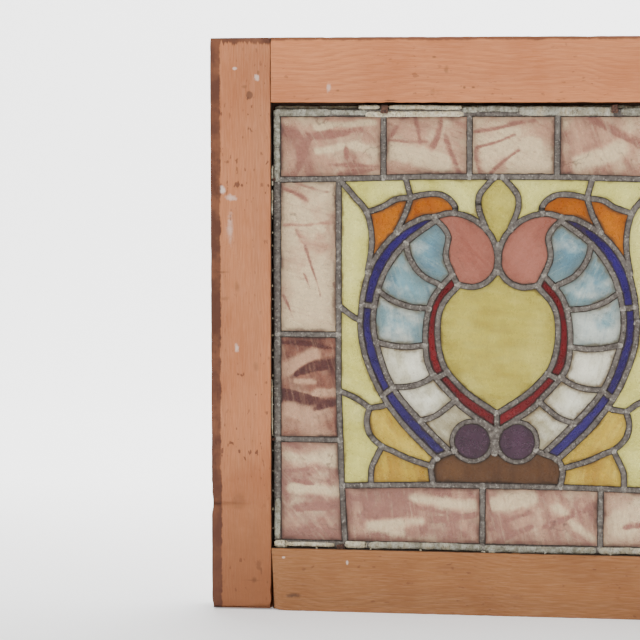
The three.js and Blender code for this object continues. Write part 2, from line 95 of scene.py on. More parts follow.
for step in range(1, 9):
    turn = math.radians(90 * step / 8)
    moved = bmesh.ops.extrude_edge_only(sweep, edges=back_edge)["geom"]
    back_edge = [g for g in moved if isinstance(g, bmesh.types.BMEdge)]
    for vert in (g for g in moved if isinstance(g, bmesh.types.BMVert)):
        vert.co.y = 1.4 + math.sin(turn)
        vert.co.z = 1.0 - math.cos(turn)
moved = bmesh.ops.extrude_edge_only(sweep, edges=back_edge)["geom"]
bmesh.ops.translate(sweep, vec=(0, 0, 3.0), verts=[g for g in moved if isinstance(g, bmesh.types.BMVert)])
mesh_object("paper_sweep", sweep, paper)

world = bpy.data.worlds.new("room")
bpy.context.scene.world = world
world.use_nodes = True
world.node_tree.nodes["Background"].inputs["Color"].default_value = (1, 0.99, 0.97, 1)
world.node_tree.nodes["Background"].inputs["Strength"].default_value = 0.30


def lamp(name, place, target, size, power):
    light = bpy.data.lights.new(name, "AREA")
    light.shape = "DISK"
    light.size = size
    light.energy = power
    body = bpy.data.objects.new(name, light)
    bpy.context.collection.objects.link(body)
    body.location = place
    body.rotation_euler = (Vector(target) - Vector(place)).to_track_quat("-Z", "Y").to_euler()


lamp("key_lamp", (-1.3, -1.9, 2.2), (0, 0, 0.3), 1.4, 70)
lamp("fill_lamp", (2.0, -1.3, 1.2), (0, 0, 0.3), 1.6, 26)
lamp("back_lamp", (0.2, 0.5, 2.6), (0, 2.0, 0.6), 1.6, 110)

# ---------------------------------------------------------------- the pattern of the leads
# The cartoon that the panel was leaded up from: the middle line of every came on the left half, in
# millimetres as [x, z], and the right half turned over from it. A line that butts on another is cut to it.

leads = {}


def bent_line(points, straight):
    """The middle line of a came as close points, bent smoothly through the given ones."""
    corners = [Vector(p) for p in points]
    line = [corners[0]]
    for i in range(len(corners) - 1):
        a, b = corners[max(i - 1, 0)], corners[i]
        c, d = corners[i + 1], corners[min(i + 2, len(corners) - 1)]
        steps = max(2, round((c - b).length / 2.5))
        for k in range(1, steps + 1):
            t = k / steps
            if straight:
                line.append(b.lerp(c, t))
                continue
            u, v = (c - a) * 0.5, (d - b) * 0.5
            line.append((2 * t**3 - 3 * t**2 + 1) * b + (t**3 - 2 * t**2 + t) * u
                        + (3 * t**2 - 2 * t**3) * c + (t**3 - t**2) * v)
    return line


def nearest(point, line):
    best = line[0]
    for start, stop in zip(line, line[1:]):
        run = stop - start
        along = min(max((point - start).dot(run) / run.length_squared, 0), 1)
        foot = start + run * along
        if (foot - point).length < (best - point).length:
            best = foot
    return best


def lay(name, points, start=None, end=None, width=6.0, straight=None):
    straight = len(points) == 2 if straight is None else straight
    line = bent_line(points, straight)
    if start:
        line[0] = nearest(line[0], leads[start]["line"])
    if end:
        line[-1] = nearest(line[-1], leads[end]["line"])
    leads[name] = {"line": line, "width": width}


def lay_pair(name, points, start=None, end=None, **options):
    for hand, sign in (("left", 1), ("right", -1)):
        def own(other):
            return f"{other}_{hand}" if f"{other}_{hand}" in leads else other
        lay(f"{name}_{hand}", [(sign * x, z) for x, z in points],
            start and own(start), end and own(end), **options)


lay("edge_left", [(-222.5, 68), (-222.5, 505)], width=8)
lay("edge_right", [(222.5, 68), (222.5, 505)], width=8)
lay("edge_top", [(-222.5, 505), (222.5, 505)], width=8)
lay("edge_bottom", [(-222.5, 68), (222.5, 68)], width=8)
lay("field_top", [(-222.5, 438), (-160, 439), (-68, 441.5), (68, 441.5), (160, 439)], "edge_left", straight=True)
lay("field_side_left", [(-160, 439), (-160, 230), (-156.5, 128.5), (-153, 68)], None, "edge_bottom", straight=True)
lay("field_side_right", [(160, 505), (160, 439), (160, 230), (156.5, 129)], "edge_top", straight=True)
lay("field_bottom", [(-156.5, 128.5), (-67, 131), (67, 131), (156.5, 129), (222.5, 130)], None, "edge_right",
    straight=True)
for i, x in enumerate((-115, -29, 58)):
    lay(f"top_tie_{i + 1}", [(x, 505), (x, 441)], "edge_top", "field_top")
for i, x in enumerate((-14, 104)):
    lay(f"bottom_tie_{i + 1}", [(x, 68), (x, 131)], "edge_bottom", "field_bottom")
for i, z in enumerate((282, 175)):
    lay(f"left_tie_{i + 1}", [(-222.5, z), (-160, z)], "edge_left", "field_side_left")
for i, z in enumerate((396, 289)):
    lay(f"right_tie_{i + 1}", [(222.5, z), (160, z)], "edge_right", "field_side_right")
lay_pair("scroll_back", [(-64, 401), (-49, 405), (-34, 403), (-20, 396), (-8, 384), (-1.5, 368), (-1.5, 350),
                         (-10, 337.5), (-24, 331.5), (-40, 333.5)])
lay_pair("scroll_hollow", [(-63.5, 399.5), (-54, 390), (-49.7, 381), (-51.5, 370), (-52, 361), (-48.5, 350.5),
                           (-41, 335)], "scroll_back", "scroll_back")
ROUNDELS = {"left": (-24.7, 176), "right": (20.2, 176)}
for hand, (x, z) in ROUNDELS.items():
    ring = [Vector((x + 20.2 * math.cos(a * math.tau / 48), z + 20.2 * math.sin(a * math.tau / 48)))
            for a in range(49)]
    leads[f"roundel_{hand}"] = {"line": ring, "width": 5.0}
lay_pair("base_end", [(-43, 166), (-54, 162), (-62, 157.5), (-66, 149), (-65.5, 141), (-63.5, 131)],
         "roundel", "field_bottom")
lay_pair("crescent_outer", [(-64, 401), (-78, 399), (-105, 382), (-127, 352), (-137, 310), (-136, 273),
                            (-121, 231), (-96, 194), (-59, 157)], "scroll_back", "base_end")
lay_pair("crescent_rim", [(-62, 398), (-88, 379), (-105, 360), (-118, 335), (-125, 300), (-121, 271),
                          (-105, 229), (-74, 192), (-46, 164)], "scroll_hollow", "roundel")
lay_pair("heart_side", [(-39, 333), (-53, 317), (-59, 302), (-60, 280), (-56, 258), (-48, 243), (-28, 223),
                        (0, 204.5)], "scroll_back")
lay_pair("throat", [(-46, 343), (-60, 327.5), (-68, 312), (-72, 290), (-72, 269), (-69, 252), (-61.5, 239),
                    (-46, 222), (-33, 208.5), (0, 186.5)], "scroll_hollow")
lay("heart_point", [(0, 205), (0, 186)])
lay("scroll_joint", [(0, 374), (0, 346)])
lay("roundel_joint", [(-2.2, 190), (-2.2, 164)], width=8)
lay_pair("crescent_tie_1", [(-92, 375), (-88, 359), (-76, 343), (-59, 334)], "crescent_rim", "throat")
lay_pair("crescent_tie_2", [(-120, 327), (-108, 318.5), (-90, 311.5), (-70, 309.5)], "crescent_rim", "throat")
lay_pair("crescent_tie_3", [(-121, 275), (-106, 271.5), (-90, 270.5), (-72, 272.5)], "crescent_rim", "throat")
lay_pair("crescent_tie_4", [(-104, 229.5), (-88, 230.5), (-74, 235), (-64, 241.5)], "crescent_rim", "throat")
lay_pair("crescent_tie_5", [(-77, 195.5), (-62, 201), (-50, 210), (-42, 217)], "crescent_rim", "throat")
STRIP_TIES = {
    "cobalt_tie_1": [(-137, 313), (-123.5, 311)],
    "cobalt_tie_2": [(-116, 220.5), (-103.5, 230)],
    "ruby_tie": [(-62, 239), (-49, 246)],
}
lay_pair("cobalt_tie_1", STRIP_TIES["cobalt_tie_1"], "crescent_outer", "crescent_rim")
lay_pair("cobalt_tie_2", STRIP_TIES["cobalt_tie_2"], "crescent_outer", "crescent_rim")
lay_pair("ruby_tie", STRIP_TIES["ruby_tie"], "throat", "heart_side")
lay_pair("drop_side", [(-4, 441), (-12.5, 432), (-19, 423), (-19.8, 411), (-16, 399.5), (-12, 390)],
         "field_top", "scroll_back")
lay_pair("corner_stem", [(-160, 439), (-144, 421), (-132.5, 407), (-127.5, 389), (-127, 370), (-131, 345)],
         None, "crescent_outer")
lay_pair("petal_outer_edge", [(-131, 406), (-116, 411), (-103, 418.5), (-87.5, 420.5)], "corner_stem")
lay_pair("petal_inner_edge", [(-87.5, 420.5), (-75, 423.5), (-60, 424), (-49, 419), (-43, 411), (-44, 404)],
         None, "scroll_back")
lay_pair("petal_tie", [(-93, 441), (-87.5, 420.5)], "field_top")
lay_pair("petal_parting", [(-87.5, 420.5), (-93, 404), (-102, 386)], None, "crescent_outer")
lay_pair("ground_joint_upper", [(-160, 311), (-144, 299.5), (-137, 297)], "field_side", "crescent_outer")
lay_pair("ground_joint_lower", [(-159, 225), (-142, 217.5), (-128.5, 208)], "field_side")
lay_pair("amber_top", [(-128.5, 208), (-113, 210.5)], None, "crescent_outer")
lay_pair("amber_upper_edge", [(-128.5, 208), (-131.5, 195), (-128, 181), (-117, 170), (-106, 165), (-90, 157.5),
                              (-66, 150)], None, "base_end")
lay_pair("amber_lower_edge", [(-116, 169), (-122.5, 156), (-126.5, 146), (-127, 130)], "amber_upper_edge",
         "field_bottom")

# ---------------------------------------------------------------- the cames
# Lead cames, drawn through a mill to an H section, bent to the cartoon, and soldered where they meet.
# Their faces are a little domed and were never quite even; handling has dented them.

MM = 0.001
LEAD_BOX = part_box("lead_cames")
LEAD_FRONT = LEAD_BOX[0][1] / MM
LEAD_BACK = LEAD_BOX[1][1] / MM
GLASS_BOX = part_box("glass_heart")
GLASS_FRONT = GLASS_BOX[0][1] / MM
GLASS_BACK = GLASS_BOX[1][1] / MM


def ripple(place, size, seed):
    """A smooth even wander of -1 to 1 over size millimetres."""
    return noise.noise(Vector((place[0] / size, place[1] / size, seed * 7.3)))


def gather(whole, bm):
    """Adds a small finished bmesh to the whole one that it is part of."""
    part = bpy.data.meshes.new("part")
    bm.to_mesh(part)
    bm.free()
    whole.from_mesh(part)
    bpy.data.meshes.remove(part)


def drawn(whole, line, section, layer_name=None, closed=False):
    """Draws a section of (across, depth, tint) points along a line, a step at a time, and adds it to whole."""
    bm = bmesh.new()
    layer = bm.verts.layers.float.new(layer_name) if layer_name else None
    count = len(line)
    ring = None
    for i, point in enumerate(line):
        before = line[i - 1] if i else (line[-2] if closed else point)
        after = line[i + 1] if i + 1 < count else (line[1] if closed else point)
        along = (after - before).normalized()
        across = Vector((-along.y, along.x))
        shape = section(point, i)
        places = [Vector((point.x + across.x * u, depth, point.y + across.y * u)) * MM for u, depth, _ in shape]
        if ring is None:
            face = bm.faces.new([bm.verts.new(p) for p in places])
            ring = list(face.verts)
        else:
            order = {tuple(vert.co): k for k, vert in enumerate(ring)}
            made = bmesh.ops.extrude_face_region(bm, geom=[face])["geom"]
            face = next(g for g in made if isinstance(g, bmesh.types.BMFace))
            fresh = [None] * len(ring)
            for vert in face.verts:
                fresh[order[tuple(vert.co)]] = vert
            for vert, place in zip(fresh, places):
                vert.co = place
            ring = fresh
        if layer is not None:
            for vert, (_, _, tint) in zip(ring, shape):
                vert[layer] = tint
    bmesh.ops.recalc_face_normals(bm, faces=bm.faces)
    gather(whole, bm)


# How the domed face of a flange falls from its middle to its edge: (part of the half width, fall, crown)
DOME = [(1.0, 1.15, 0.0), (1.0, 0.62, 0.05), (0.78, 0.27, 0.35), (0.42, 0.07, 0.8), (0.0, 0.0, 1.0)]
HEART = 0.8


def came_section(width, seed):
    def section(point, i):
        half = width / 2 * (1 + 0.07 * ripple(point, 9, seed) + 0.03 * ripple(point, 2.5, seed + 3))
        slip = 0.25 * ripple(point, 22, seed + 5)
        dent = 0.10 + 0.14 * ripple(point, 6, seed + 9) + 0.08 * ripple(point, 1.8, seed + 11)
        half -= abs(slip)
        points = []
        for side in (-1, 1):
            run = DOME if side < 0 else DOME[-2::-1]
            for part, fall, crown in run:
                points.append((side * part * half + slip, LEAD_FRONT + fall + max(dent, 0) * crown, crown))
        points.append((HEART, LEAD_FRONT + 1.15, 0.0))
        points.append((HEART, LEAD_BACK - 1.15, 0.0))
        for side in (1, -1):
            run = DOME if side > 0 else DOME[-2::-1]
            for part, fall, crown in run:
                points.append((side * part * half + slip, LEAD_BACK - fall - max(dent, 0) * crown, crown))
        points.append((-HEART, LEAD_BACK - 1.15, 0.0))
        points.append((-HEART, LEAD_FRONT + 1.15, 0.0))
        return points
    return section


cames = bmesh.new()
cames.verts.layers.float.new("crown")
for seed, (name, lead) in enumerate(leads.items()):
    is_ring = name in ("roundel_left", "roundel_right")
    drawn(cames, lead["line"], came_section(lead["width"], seed), "crown", is_ring)


def socket(tree, kind, name, output=False):
    return tree.interface.new_socket(name, in_out="OUTPUT" if output else "INPUT", socket_type=kind)


def node(tree, kind, label="", **values):
    made = tree.nodes.new(kind)
    made.label = label
    for key, value in values.items():
        setattr(made, key, value)
    return made


def join(tree, source, target):
    tree.links.new(source, target)


def noise_map(tree, vector, scale, detail=4.0, rough=0.55, distortion=0.0, w=None):
    made = node(tree, "ShaderNodeTexNoise")
    made.inputs["Scale"].default_value = scale
    made.inputs["Detail"].default_value = detail
    made.inputs["Roughness"].default_value = rough
    made.inputs["Distortion"].default_value = distortion
    if w is not None:
        made.noise_dimensions = "4D"
        join(tree, w, made.inputs["W"])
    join(tree, vector, made.inputs["Vector"])
    return made.outputs["Fac"]


def between(tree, value, low, high, to_low=0.0, to_high=1.0, smooth=True):
    """value between low and high, given as to_low to to_high and held there beyond them."""
    if not isinstance(high, bpy.types.NodeSocket) and low > high:
        low, high, to_low, to_high = high, low, to_high, to_low
    made = node(tree, "ShaderNodeMapRange", interpolation_type="SMOOTHSTEP" if smooth else "LINEAR")
    for name, number in (("From Min", low), ("From Max", high), ("To Min", to_low), ("To Max", to_high)):
        if isinstance(number, bpy.types.NodeSocket):
            join(tree, number, made.inputs[name])
        else:
            made.inputs[name].default_value = number
    join(tree, value, made.inputs["Value"])
    return made.outputs["Result"]


def mix(tree, factor, first, second, how="MIX"):
    """Two colours mixed. Each of the three is a socket or a plain value."""
    made = node(tree, "ShaderNodeMix", data_type="RGBA", blend_type=how)
    for socket_in, value in ((made.inputs[0], factor), (made.inputs[6], first), (made.inputs[7], second)):
        if isinstance(value, bpy.types.NodeSocket):
            join(tree, value, socket_in)
        elif isinstance(value, (int, float)):
            socket_in.default_value = value
        else:
            socket_in.default_value = (*value, 1.0)
    return made.outputs[2]


def sums(tree, how, first, second=None, third=None):
    made = node(tree, "ShaderNodeMath", operation=how)
    for socket_in, value in zip(made.inputs, (first, second, third)):
        if isinstance(value, bpy.types.NodeSocket):
            join(tree, value, socket_in)
        elif value is not None:
            socket_in.default_value = value
    return made.outputs[0]


def relief(tree, shader, height, strength, distance):
    made = node(tree, "ShaderNodeBump")
    made.inputs["Strength"].default_value = strength
    made.inputs["Distance"].default_value = distance
    join(tree, height, made.inputs["Height"])
    join(tree, made.outputs["Normal"], shader.inputs["Normal"])


def attribute(tree, name):
    return node(tree, "ShaderNodeAttribute", attribute_name=name).outputs


lead_metal, tree, shader = plain_material("weathered_lead")
place = node(tree, "ShaderNodeTexCoord").outputs["Object"]
crown = attribute(tree, "crown")["Fac"]
film = noise_map(tree, place, 55, 5, 0.65)
grain = noise_map(tree, place, 900, 4, 0.6)
blotch = noise_map(tree, place, 210, 5, 0.7)
glint = noise_map(tree, place, 480, 3, 0.6)
colour = mix(tree, between(tree, film, 0.35, 0.68), (0.105, 0.088, 0.076), (0.165, 0.143, 0.122))
colour = mix(tree, between(tree, blotch, 0.50, 0.66, 0.0, 0.8), colour, (0.25, 0.225, 0.19))
colour = mix(tree, between(tree, blotch, 0.46, 0.32), colour, (0.050, 0.038, 0.030))
colour = mix(tree, between(tree, glint, 0.60, 0.68, 0.0, 0.75), colour, (0.46, 0.42, 0.36))
# The came's face darkens towards its edges, where it meets the glass: partly dirt in the crease, partly painted shade.
edge_dirt_and_shade = between(tree, sums(tree, "ADD", crown, sums(tree, "MULTIPLY", grain, 0.6)), 0.95, 0.35)
colour = mix(tree, edge_dirt_and_shade, colour, (0.032, 0.022, 0.017))
join(tree, colour, shader.inputs["Base Color"])
join(tree, between(tree, blotch, 0.3, 0.7, 0.66, 0.48), shader.inputs["Roughness"])
shader.inputs["Metallic"].default_value = 0.35
relief(tree, shader, sums(tree, "ADD", grain, sums(tree, "MULTIPLY", glint, 2.0)), 0.7, 0.0009)
leadwork = mesh_object("lead_came_network", cames, lead_metal)
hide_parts("lead_cames")
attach(leadwork, "root")

# ---------------------------------------------------------------- the cement
# Glazing cement, whiting and linseed oil blacked with lamp soot, was brushed under the flanges and
# wiped off. A thin dark crumbly line of it stands along every came on both faces.


def cement_section(width, seed, face, out):
    def section(point, i):
        points = []
        for side in (-1, 1):
            crumb = 0.18 + 0.50 * ripple(point, 7, seed + side) + 0.35 * ripple(point, 1.7, seed + 4 * side)
            reach = width / 2 + max(crumb, 0.12)
            points.append((side * reach, face + out * 0.02, 0.0))
            points.append((side * (width / 2 - 0.5), face + out * 0.45, 0.0))
        points[2], points[3] = points[3], points[2]
        return points
    return section


cement = bmesh.new()
for seed, lead in enumerate(leads.values()):
    drawn(cement, lead["line"], cement_section(lead["width"], seed, GLASS_FRONT, -1))
    drawn(cement, lead["line"], cement_section(lead["width"], seed, GLASS_BACK, 1))
soot, tree, shader = plain_material("sooty_cement")
place = node(tree, "ShaderNodeTexCoord").outputs["Object"]
colour = mix(tree, between(tree, noise_map(tree, place, 300, 4), 0.4, 0.66), (0.030, 0.022, 0.018), (0.10, 0.075, 0.055))
join(tree, colour, shader.inputs["Base Color"])
shader.inputs["Roughness"].default_value = 0.85
relief(tree, shader, noise_map(tree, place, 1500, 3), 0.6, 0.0004)
cement_lines = mesh_object("glazing_cement", cement, soot)
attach(cement_lines, "root")

# ---------------------------------------------------------------- the solder
# A flat lump of tinman's solder covers each place where cames meet, front and back, a little
# brighter than the lead.

joints = []
for name, lead in leads.items():
    if name.startswith("roundel_") and name != "roundel_joint":
        continue
    for end, inner in ((lead["line"][0], lead["line"][1]), (lead["line"][-1], lead["line"][-2])):
        if all((end - other).length > 5.0 for other, _, _ in joints):
            joints.append((end, (inner - end).normalized(), lead["width"]))
solder = bmesh.new()
for seed, (end, along, width) in enumerate(joints):
    for face, out in ((LEAD_FRONT, 1), (LEAD_BACK, -1)):
        lump = bmesh.new()
        bmesh.ops.create_uvsphere(lump, u_segments=20, v_segments=10, radius=1.0)
        long = 3.6 + 0.9 * ripple(end, 13, seed)
        wide = min(width / 2 + 0.25, 3.5) + 0.4 * ripple(end, 7, seed + 2)
        across = Vector((-along.y, along.x))
        for vert in lump.verts:
            u, v, rise = vert.co
            swell = 1 + 0.16 * noise.noise(vert.co * 2.2 + Vector((seed, 0, out)))
            spot = end + along * (u * long * swell + 0.6) + across * (v * wide * swell)
            vert.co = Vector((spot.x, face + out * (0.50 - 0.50 * rise * swell), spot.y)) * MM
            vert.co.y = max(min(vert.co.y, LEAD_BACK * MM), LEAD_FRONT * MM)
        bmesh.ops.recalc_face_normals(lump, faces=lump.faces)
        gather(solder, lump)
tinned, tree, shader = plain_material("dull_solder")
place = node(tree, "ShaderNodeTexCoord").outputs["Object"]
film = noise_map(tree, place, 260, 5, 0.65)
colour = mix(tree, between(tree, film, 0.40, 0.64), (0.115, 0.098, 0.082), (0.36, 0.33, 0.28))
colour = mix(tree, between(tree, noise_map(tree, place, 700, 3), 0.62, 0.70), colour, (0.07, 0.055, 0.045))
join(tree, colour, shader.inputs["Base Color"])
join(tree, between(tree, film, 0.3, 0.7, 0.62, 0.40), shader.inputs["Roughness"])
shader.inputs["Metallic"].default_value = 0.4
relief(tree, shader, noise_map(tree, place, 700, 4), 0.4, 0.0005)
solder_joints = mesh_object("solder_joints", solder, tinned)
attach(solder_joints, "root")

# ---------------------------------------------------------------- the glass
# Hand-rolled coloured sheet, cut pane by pane. Each pane is scored from a different place in its sheet, so
# its streaks lie its own way. Dirt has gathered in a margin along the cames.

samples = [(p, lead["width"] / 2) for lead in leads.values()
           for a, b in zip(lead["line"], lead["line"][1:]) for p in (a, a.lerp(b, 0.5))]
lead_tree = kdtree.KDTree(len(samples))
for i, (p, _) in enumerate(samples):
    lead_tree.insert((p.x, p.y, 0), i)
lead_tree.balance()


def streaky_group():
    """The colour of rolled glass: streaks and clouds over a ground, hair lines, cracks, dirt near the leads and a wider
    darkening towards them.
    """
    group = bpy.data.node_groups.new("streaky_glass", "ShaderNodeTree")
    for name in ("Ground", "Streak", "Cloud", "Dirt"):
        socket(group, "NodeSocketColor", name)
    for name in ("Streak scale", "Stretch", "Streak amount", "Cloud scale", "Cloud amount", "Hair amount",
                 "Vein amount", "Dirt width", "Dirt amount", "Soil amount", "Speck amount"):
        socket(group, "NodeSocketFloat", name)
    socket(group, "NodeSocketColor", "Color", True)
    socket(group, "NodeSocketFloat", "Roughness", True)
    socket(group, "NodeSocketFloat", "Height", True)
    given = node(group, "NodeGroupInput").outputs
    result = node(group, "NodeGroupOutput").inputs
    place = node(group, "ShaderNodeTexCoord").outputs["Object"]
    cut, turn, tone, rim = (attribute(group, name)["Fac"] for name in ("cut", "turn", "tone", "rim"))
    angle = node(group, "ShaderNodeVectorRotate", rotation_type="Y_AXIS")
    join(group, place, angle.inputs["Vector"])
    join(group, turn, angle.inputs["Angle"])
    turned = angle.outputs["Vector"]
    swirl = node(group, "ShaderNodeTexNoise", noise_dimensions="4D")
    swirl.inputs["Scale"].default_value = 18
    swirl.inputs["Detail"].default_value = 2
    join(group, turned, swirl.inputs["Vector"])
    join(group, cut, swirl.inputs["W"])

    def drawn_out(along, push):
        """Place drawn out along the streaks, so that patterns on it are long and thin, and pushed by the swirl."""
        squeeze = node(group, "ShaderNodeCombineXYZ")
        squeeze.inputs["Y"].default_value = 1.0
        squeeze.inputs["Z"].default_value = 1.0
        if isinstance(along, bpy.types.NodeSocket):
            join(group, along, squeeze.inputs["X"])
        else:
            squeeze.inputs["X"].default_value = along
        laid = node(group, "ShaderNodeVectorMath", operation="MULTIPLY")
        join(group, turned, laid.inputs[0])
        join(group, squeeze.outputs["Vector"], laid.inputs[1])
        pushed = node(group, "ShaderNodeVectorMath", operation="MULTIPLY_ADD")
        join(group, swirl.outputs["Color"], pushed.inputs[0])
        pushed.inputs[1].default_value = (push, push, push)
        join(group, laid.outputs["Vector"], pushed.inputs[2])
        return pushed.outputs["Vector"]

    flow = drawn_out(given["Stretch"], 0.03)
    streak = noise_map(group, flow, 1, 5, 0.6, w=cut)
    join(group, given["Streak scale"], streak.node.inputs["Scale"])
    cloud = noise_map(group, turned, 1, 4, 0.55, w=cut)
    join(group, given["Cloud scale"], cloud.node.inputs["Scale"])
    shift = sums(group, "MULTIPLY_ADD", tone, 0.36, -0.18)
    streaks = between(group, sums(group, "ADD", streak, shift), 0.42, 0.68)
    clouds = between(group, sums(group, "SUBTRACT", cloud, shift), 0.42, 0.66)
    colour = mix(group, sums(group, "MULTIPLY", streaks, given["Streak amount"]), given["Ground"], given["Streak"])
    colour = mix(group, sums(group, "MULTIPLY", clouds, given["Cloud amount"]), colour, given["Cloud"])

    hair = noise_map(group, drawn_out(16.0, 0.12), 34, 4, 0.7, w=cut)
    dark_hair = sums(group, "MULTIPLY", between(group, hair, 0.50, 0.68), given["Hair amount"])
    pale_hair = sums(group, "MULTIPLY", between(group, hair, 0.48, 0.34), given["Hair amount"])
    colour = mix(group, dark_hair, colour, given["Streak"])
    colour = mix(group, pale_hair, colour, given["Cloud"])

    ragged = noise_map(group, place, 130, 6, 0.7)
    crack = noise_map(group, turned, 15, 4, 0.5, w=cut)
    crack_line = between(group, sums(group, "ABSOLUTE", sums(group, "SUBTRACT", crack, 0.5)), 0.006, 0.001)
    broken = between(group, noise_map(group, turned, 34, 2, 0.5, w=cut), 0.52, 0.60)
    vein = noise_map(group, flow, 55, 3, 0.5, w=cut)
    vein_line = between(group, sums(group, "ABSOLUTE", sums(group, "SUBTRACT", vein, 0.5)), 0.020, 0.002)
    vein_line = sums(group, "MULTIPLY", vein_line, between(group, ragged, 0.48, 0.60))
    lines = sums(group, "MAXIMUM", sums(group, "MULTIPLY", crack_line, broken), vein_line)
    colour = mix(group, sums(group, "MULTIPLY", lines, given["Vein amount"]), colour, given["Dirt"])

    # The pane turns darker towards its leads over a wide, patchy band.
    wide_edge_darkening = sums(group, "MULTIPLY_ADD", cloud, 16.0, sums(group, "SUBTRACT", rim, 8.0))
    soil = between(group, wide_edge_darkening, 0.0, 17.0, 1.0, 0.0)
    colour = mix(group, sums(group, "MULTIPLY", soil, given["Soil amount"]), colour, given["Dirt"])
    near = sums(group, "MULTIPLY_ADD", ragged, 11.0, sums(group, "SUBTRACT", rim, 5.5))
    margin = between(group, near, 0.2, given["Dirt width"], 1.0, 0.0)
    patch = between(group, noise_map(group, place, 26, 3, 0.5), 0.44, 0.60, 0.25, 1.0)
    margin = sums(group, "MULTIPLY", margin, patch)
    colour = mix(group, sums(group, "MULTIPLY", margin, given["Dirt amount"]), colour, given["Dirt"])
    fine = between(group, noise_map(group, place, 620, 2, 0.5), 0.68, 0.76)
    spot = between(group, noise_map(group, place, 210, 2, 0.5), 0.72, 0.77)
    speck = sums(group, "MULTIPLY", sums(group, "MAXIMUM", fine, spot), given["Speck amount"])
    colour = mix(group, speck, colour, given["Dirt"])
    join(group, colour, result["Color"])
    dull = sums(group, "MULTIPLY_ADD", margin, 0.35, between(group, ragged, 0.3, 0.7, 0.20, 0.36))
    join(group, dull, result["Roughness"])
    join(group, sums(group, "MULTIPLY_ADD", streak, 0.5, noise_map(group, flow, 40, 1, 0.4, w=cut)), result["Height"])
    return group


STREAKY = streaky_group()


def glass(name, ground, streak, cloud, dirt, see_through, wave=0.25, **values):
    material, tree, shader = plain_material(name)
    look = node(tree, "ShaderNodeGroup", node_tree=STREAKY)
    for socket_name, value in (("Ground", ground), ("Streak", streak), ("Cloud", cloud), ("Dirt", dirt)):
        look.inputs[socket_name].default_value = (*value, 1)
    settings = {"Streak scale": 30, "Stretch": 4.0, "Streak amount": 0.8, "Cloud scale": 28, "Cloud amount": 0.6,
                "Hair amount": 0.2, "Vein amount": 0.3, "Dirt width": 3.6, "Dirt amount": 0.85, "Soil amount": 0.22,
                "Speck amount": 0.5}
    settings.update({key.replace("_", " ").capitalize(): value for key, value in values.items()})
    for socket_name, value in settings.items():
        look.inputs[socket_name].default_value = value
    join(tree, look.outputs["Color"], shader.inputs["Base Color"])
    join(tree, look.outputs["Roughness"], shader.inputs["Roughness"])
    shader.inputs["Transmission Weight"].default_value = see_through
    shader.inputs["IOR"].default_value = 1.5
    shader.inputs["Specular IOR Level"].default_value = 0.35
    relief(tree, shader, look.outputs["Height"], wave, 0.0015)
    return material


MAUVE = glass("mauve_rolled_glass", (0.55, 0.315, 0.20), (0.30, 0.125, 0.095), (0.76, 0.60, 0.36), (0.10, 0.045, 0.033),
              0.25, streak_scale=22, stretch=3.4, streak_amount=0.9, cloud_amount=0.9, vein_amount=0.6,
              hair_amount=0.35, dirt_width=5.0, soil_amount=0.30)
PLUM = glass("plum_rolled_glass", (0.27, 0.105, 0.065), (0.075, 0.020, 0.018), (0.56, 0.33, 0.20), (0.04, 0.014, 0.012),
             0.25, streak_scale=16, stretch=2.4, streak_amount=0.95, cloud_amount=0.9, hair_amount=0.3, soil_amount=0.2)
STRAW = glass("straw_rolled_glass", (0.74, 0.70, 0.165), (0.58, 0.53, 0.10), (0.84, 0.81, 0.30), (0.17, 0.115, 0.022),
              0.30, streak_scale=14, cloud_scale=22, vein_amount=0.25, dirt_width=3.4)
ORANGE = glass("orange_rolled_glass", (0.44, 0.108, 0.001), (0.31, 0.058, 0.001), (0.56, 0.175, 0.004),
               (0.10, 0.035, 0.005), 0.30, streak_scale=26, wave=0.15)
COBALT = glass("cobalt_glass", (0.020, 0.008, 0.115), (0.010, 0.004, 0.06), (0.032, 0.015, 0.19), (0.03, 0.016, 0.02),
               0.30, dirt_width=2.0, vein_amount=0.0, wave=0.15)
SKY = glass("sky_opal_glass", (0.18, 0.35, 0.40), (0.085, 0.21, 0.29), (0.66, 0.70, 0.62), (0.12, 0.095, 0.05),
            0.15, streak_scale=30, stretch=2.2, cloud_scale=40, cloud_amount=0.85, dirt_width=4.4, hair_amount=0.3,
            soil_amount=0.4, vein_amount=0.3)
CREAM = glass("cream_opal_glass", (0.66, 0.63, 0.43), (0.34, 0.29, 0.16), (0.94, 0.93, 0.76), (0.14, 0.085, 0.03),
              0.15, streak_scale=34, stretch=2.0, cloud_scale=40, cloud_amount=0.9, dirt_width=4.4, hair_amount=0.3,
              soil_amount=0.36, vein_amount=0.4)
RUBY = glass("ruby_glass", (0.155, 0.002, 0.004), (0.09, 0.001, 0.002), (0.23, 0.004, 0.007), (0.03, 0.006, 0.006),
             0.30, dirt_width=2.0, vein_amount=0.0, wave=0.15)
OLIVE = glass("olive_rolled_glass", (0.49, 0.41, 0.065), (0.37, 0.29, 0.035), (0.66, 0.60, 0.15), (0.13, 0.085, 0.015),
              0.30, streak_scale=26, stretch=3.4, cloud_scale=20, hair_amount=0.35, dirt_width=3.4)
SALMON = glass("salmon_opal_glass", (0.37, 0.125, 0.085), (0.29, 0.09, 0.06), (0.44, 0.17, 0.12), (0.13, 0.055, 0.035),
               0.05, cloud_amount=0.5, dirt_width=2.6)
GRAPE = glass("grape_roundel_glass", (0.050, 0.018, 0.035), (0.026, 0.009, 0.018), (0.075, 0.030, 0.060),
              (0.03, 0.018, 0.02), 0.30, dirt_width=2.6, wave=0.15)
AMBER = glass("amber_rolled_glass", (0.61, 0.42, 0.036), (0.40, 0.205, 0.008), (0.76, 0.60, 0.10), (0.12, 0.06, 0.012),
              0.30, streak_scale=26, hair_amount=0.35, soil_amount=0.3)
UMBER = glass("umber_opal_glass", (0.10, 0.040, 0.011), (0.065, 0.023, 0.006), (0.135, 0.060, 0.019), (0.035, 0.018, 0.008),
              0.05, cloud_amount=0.5)

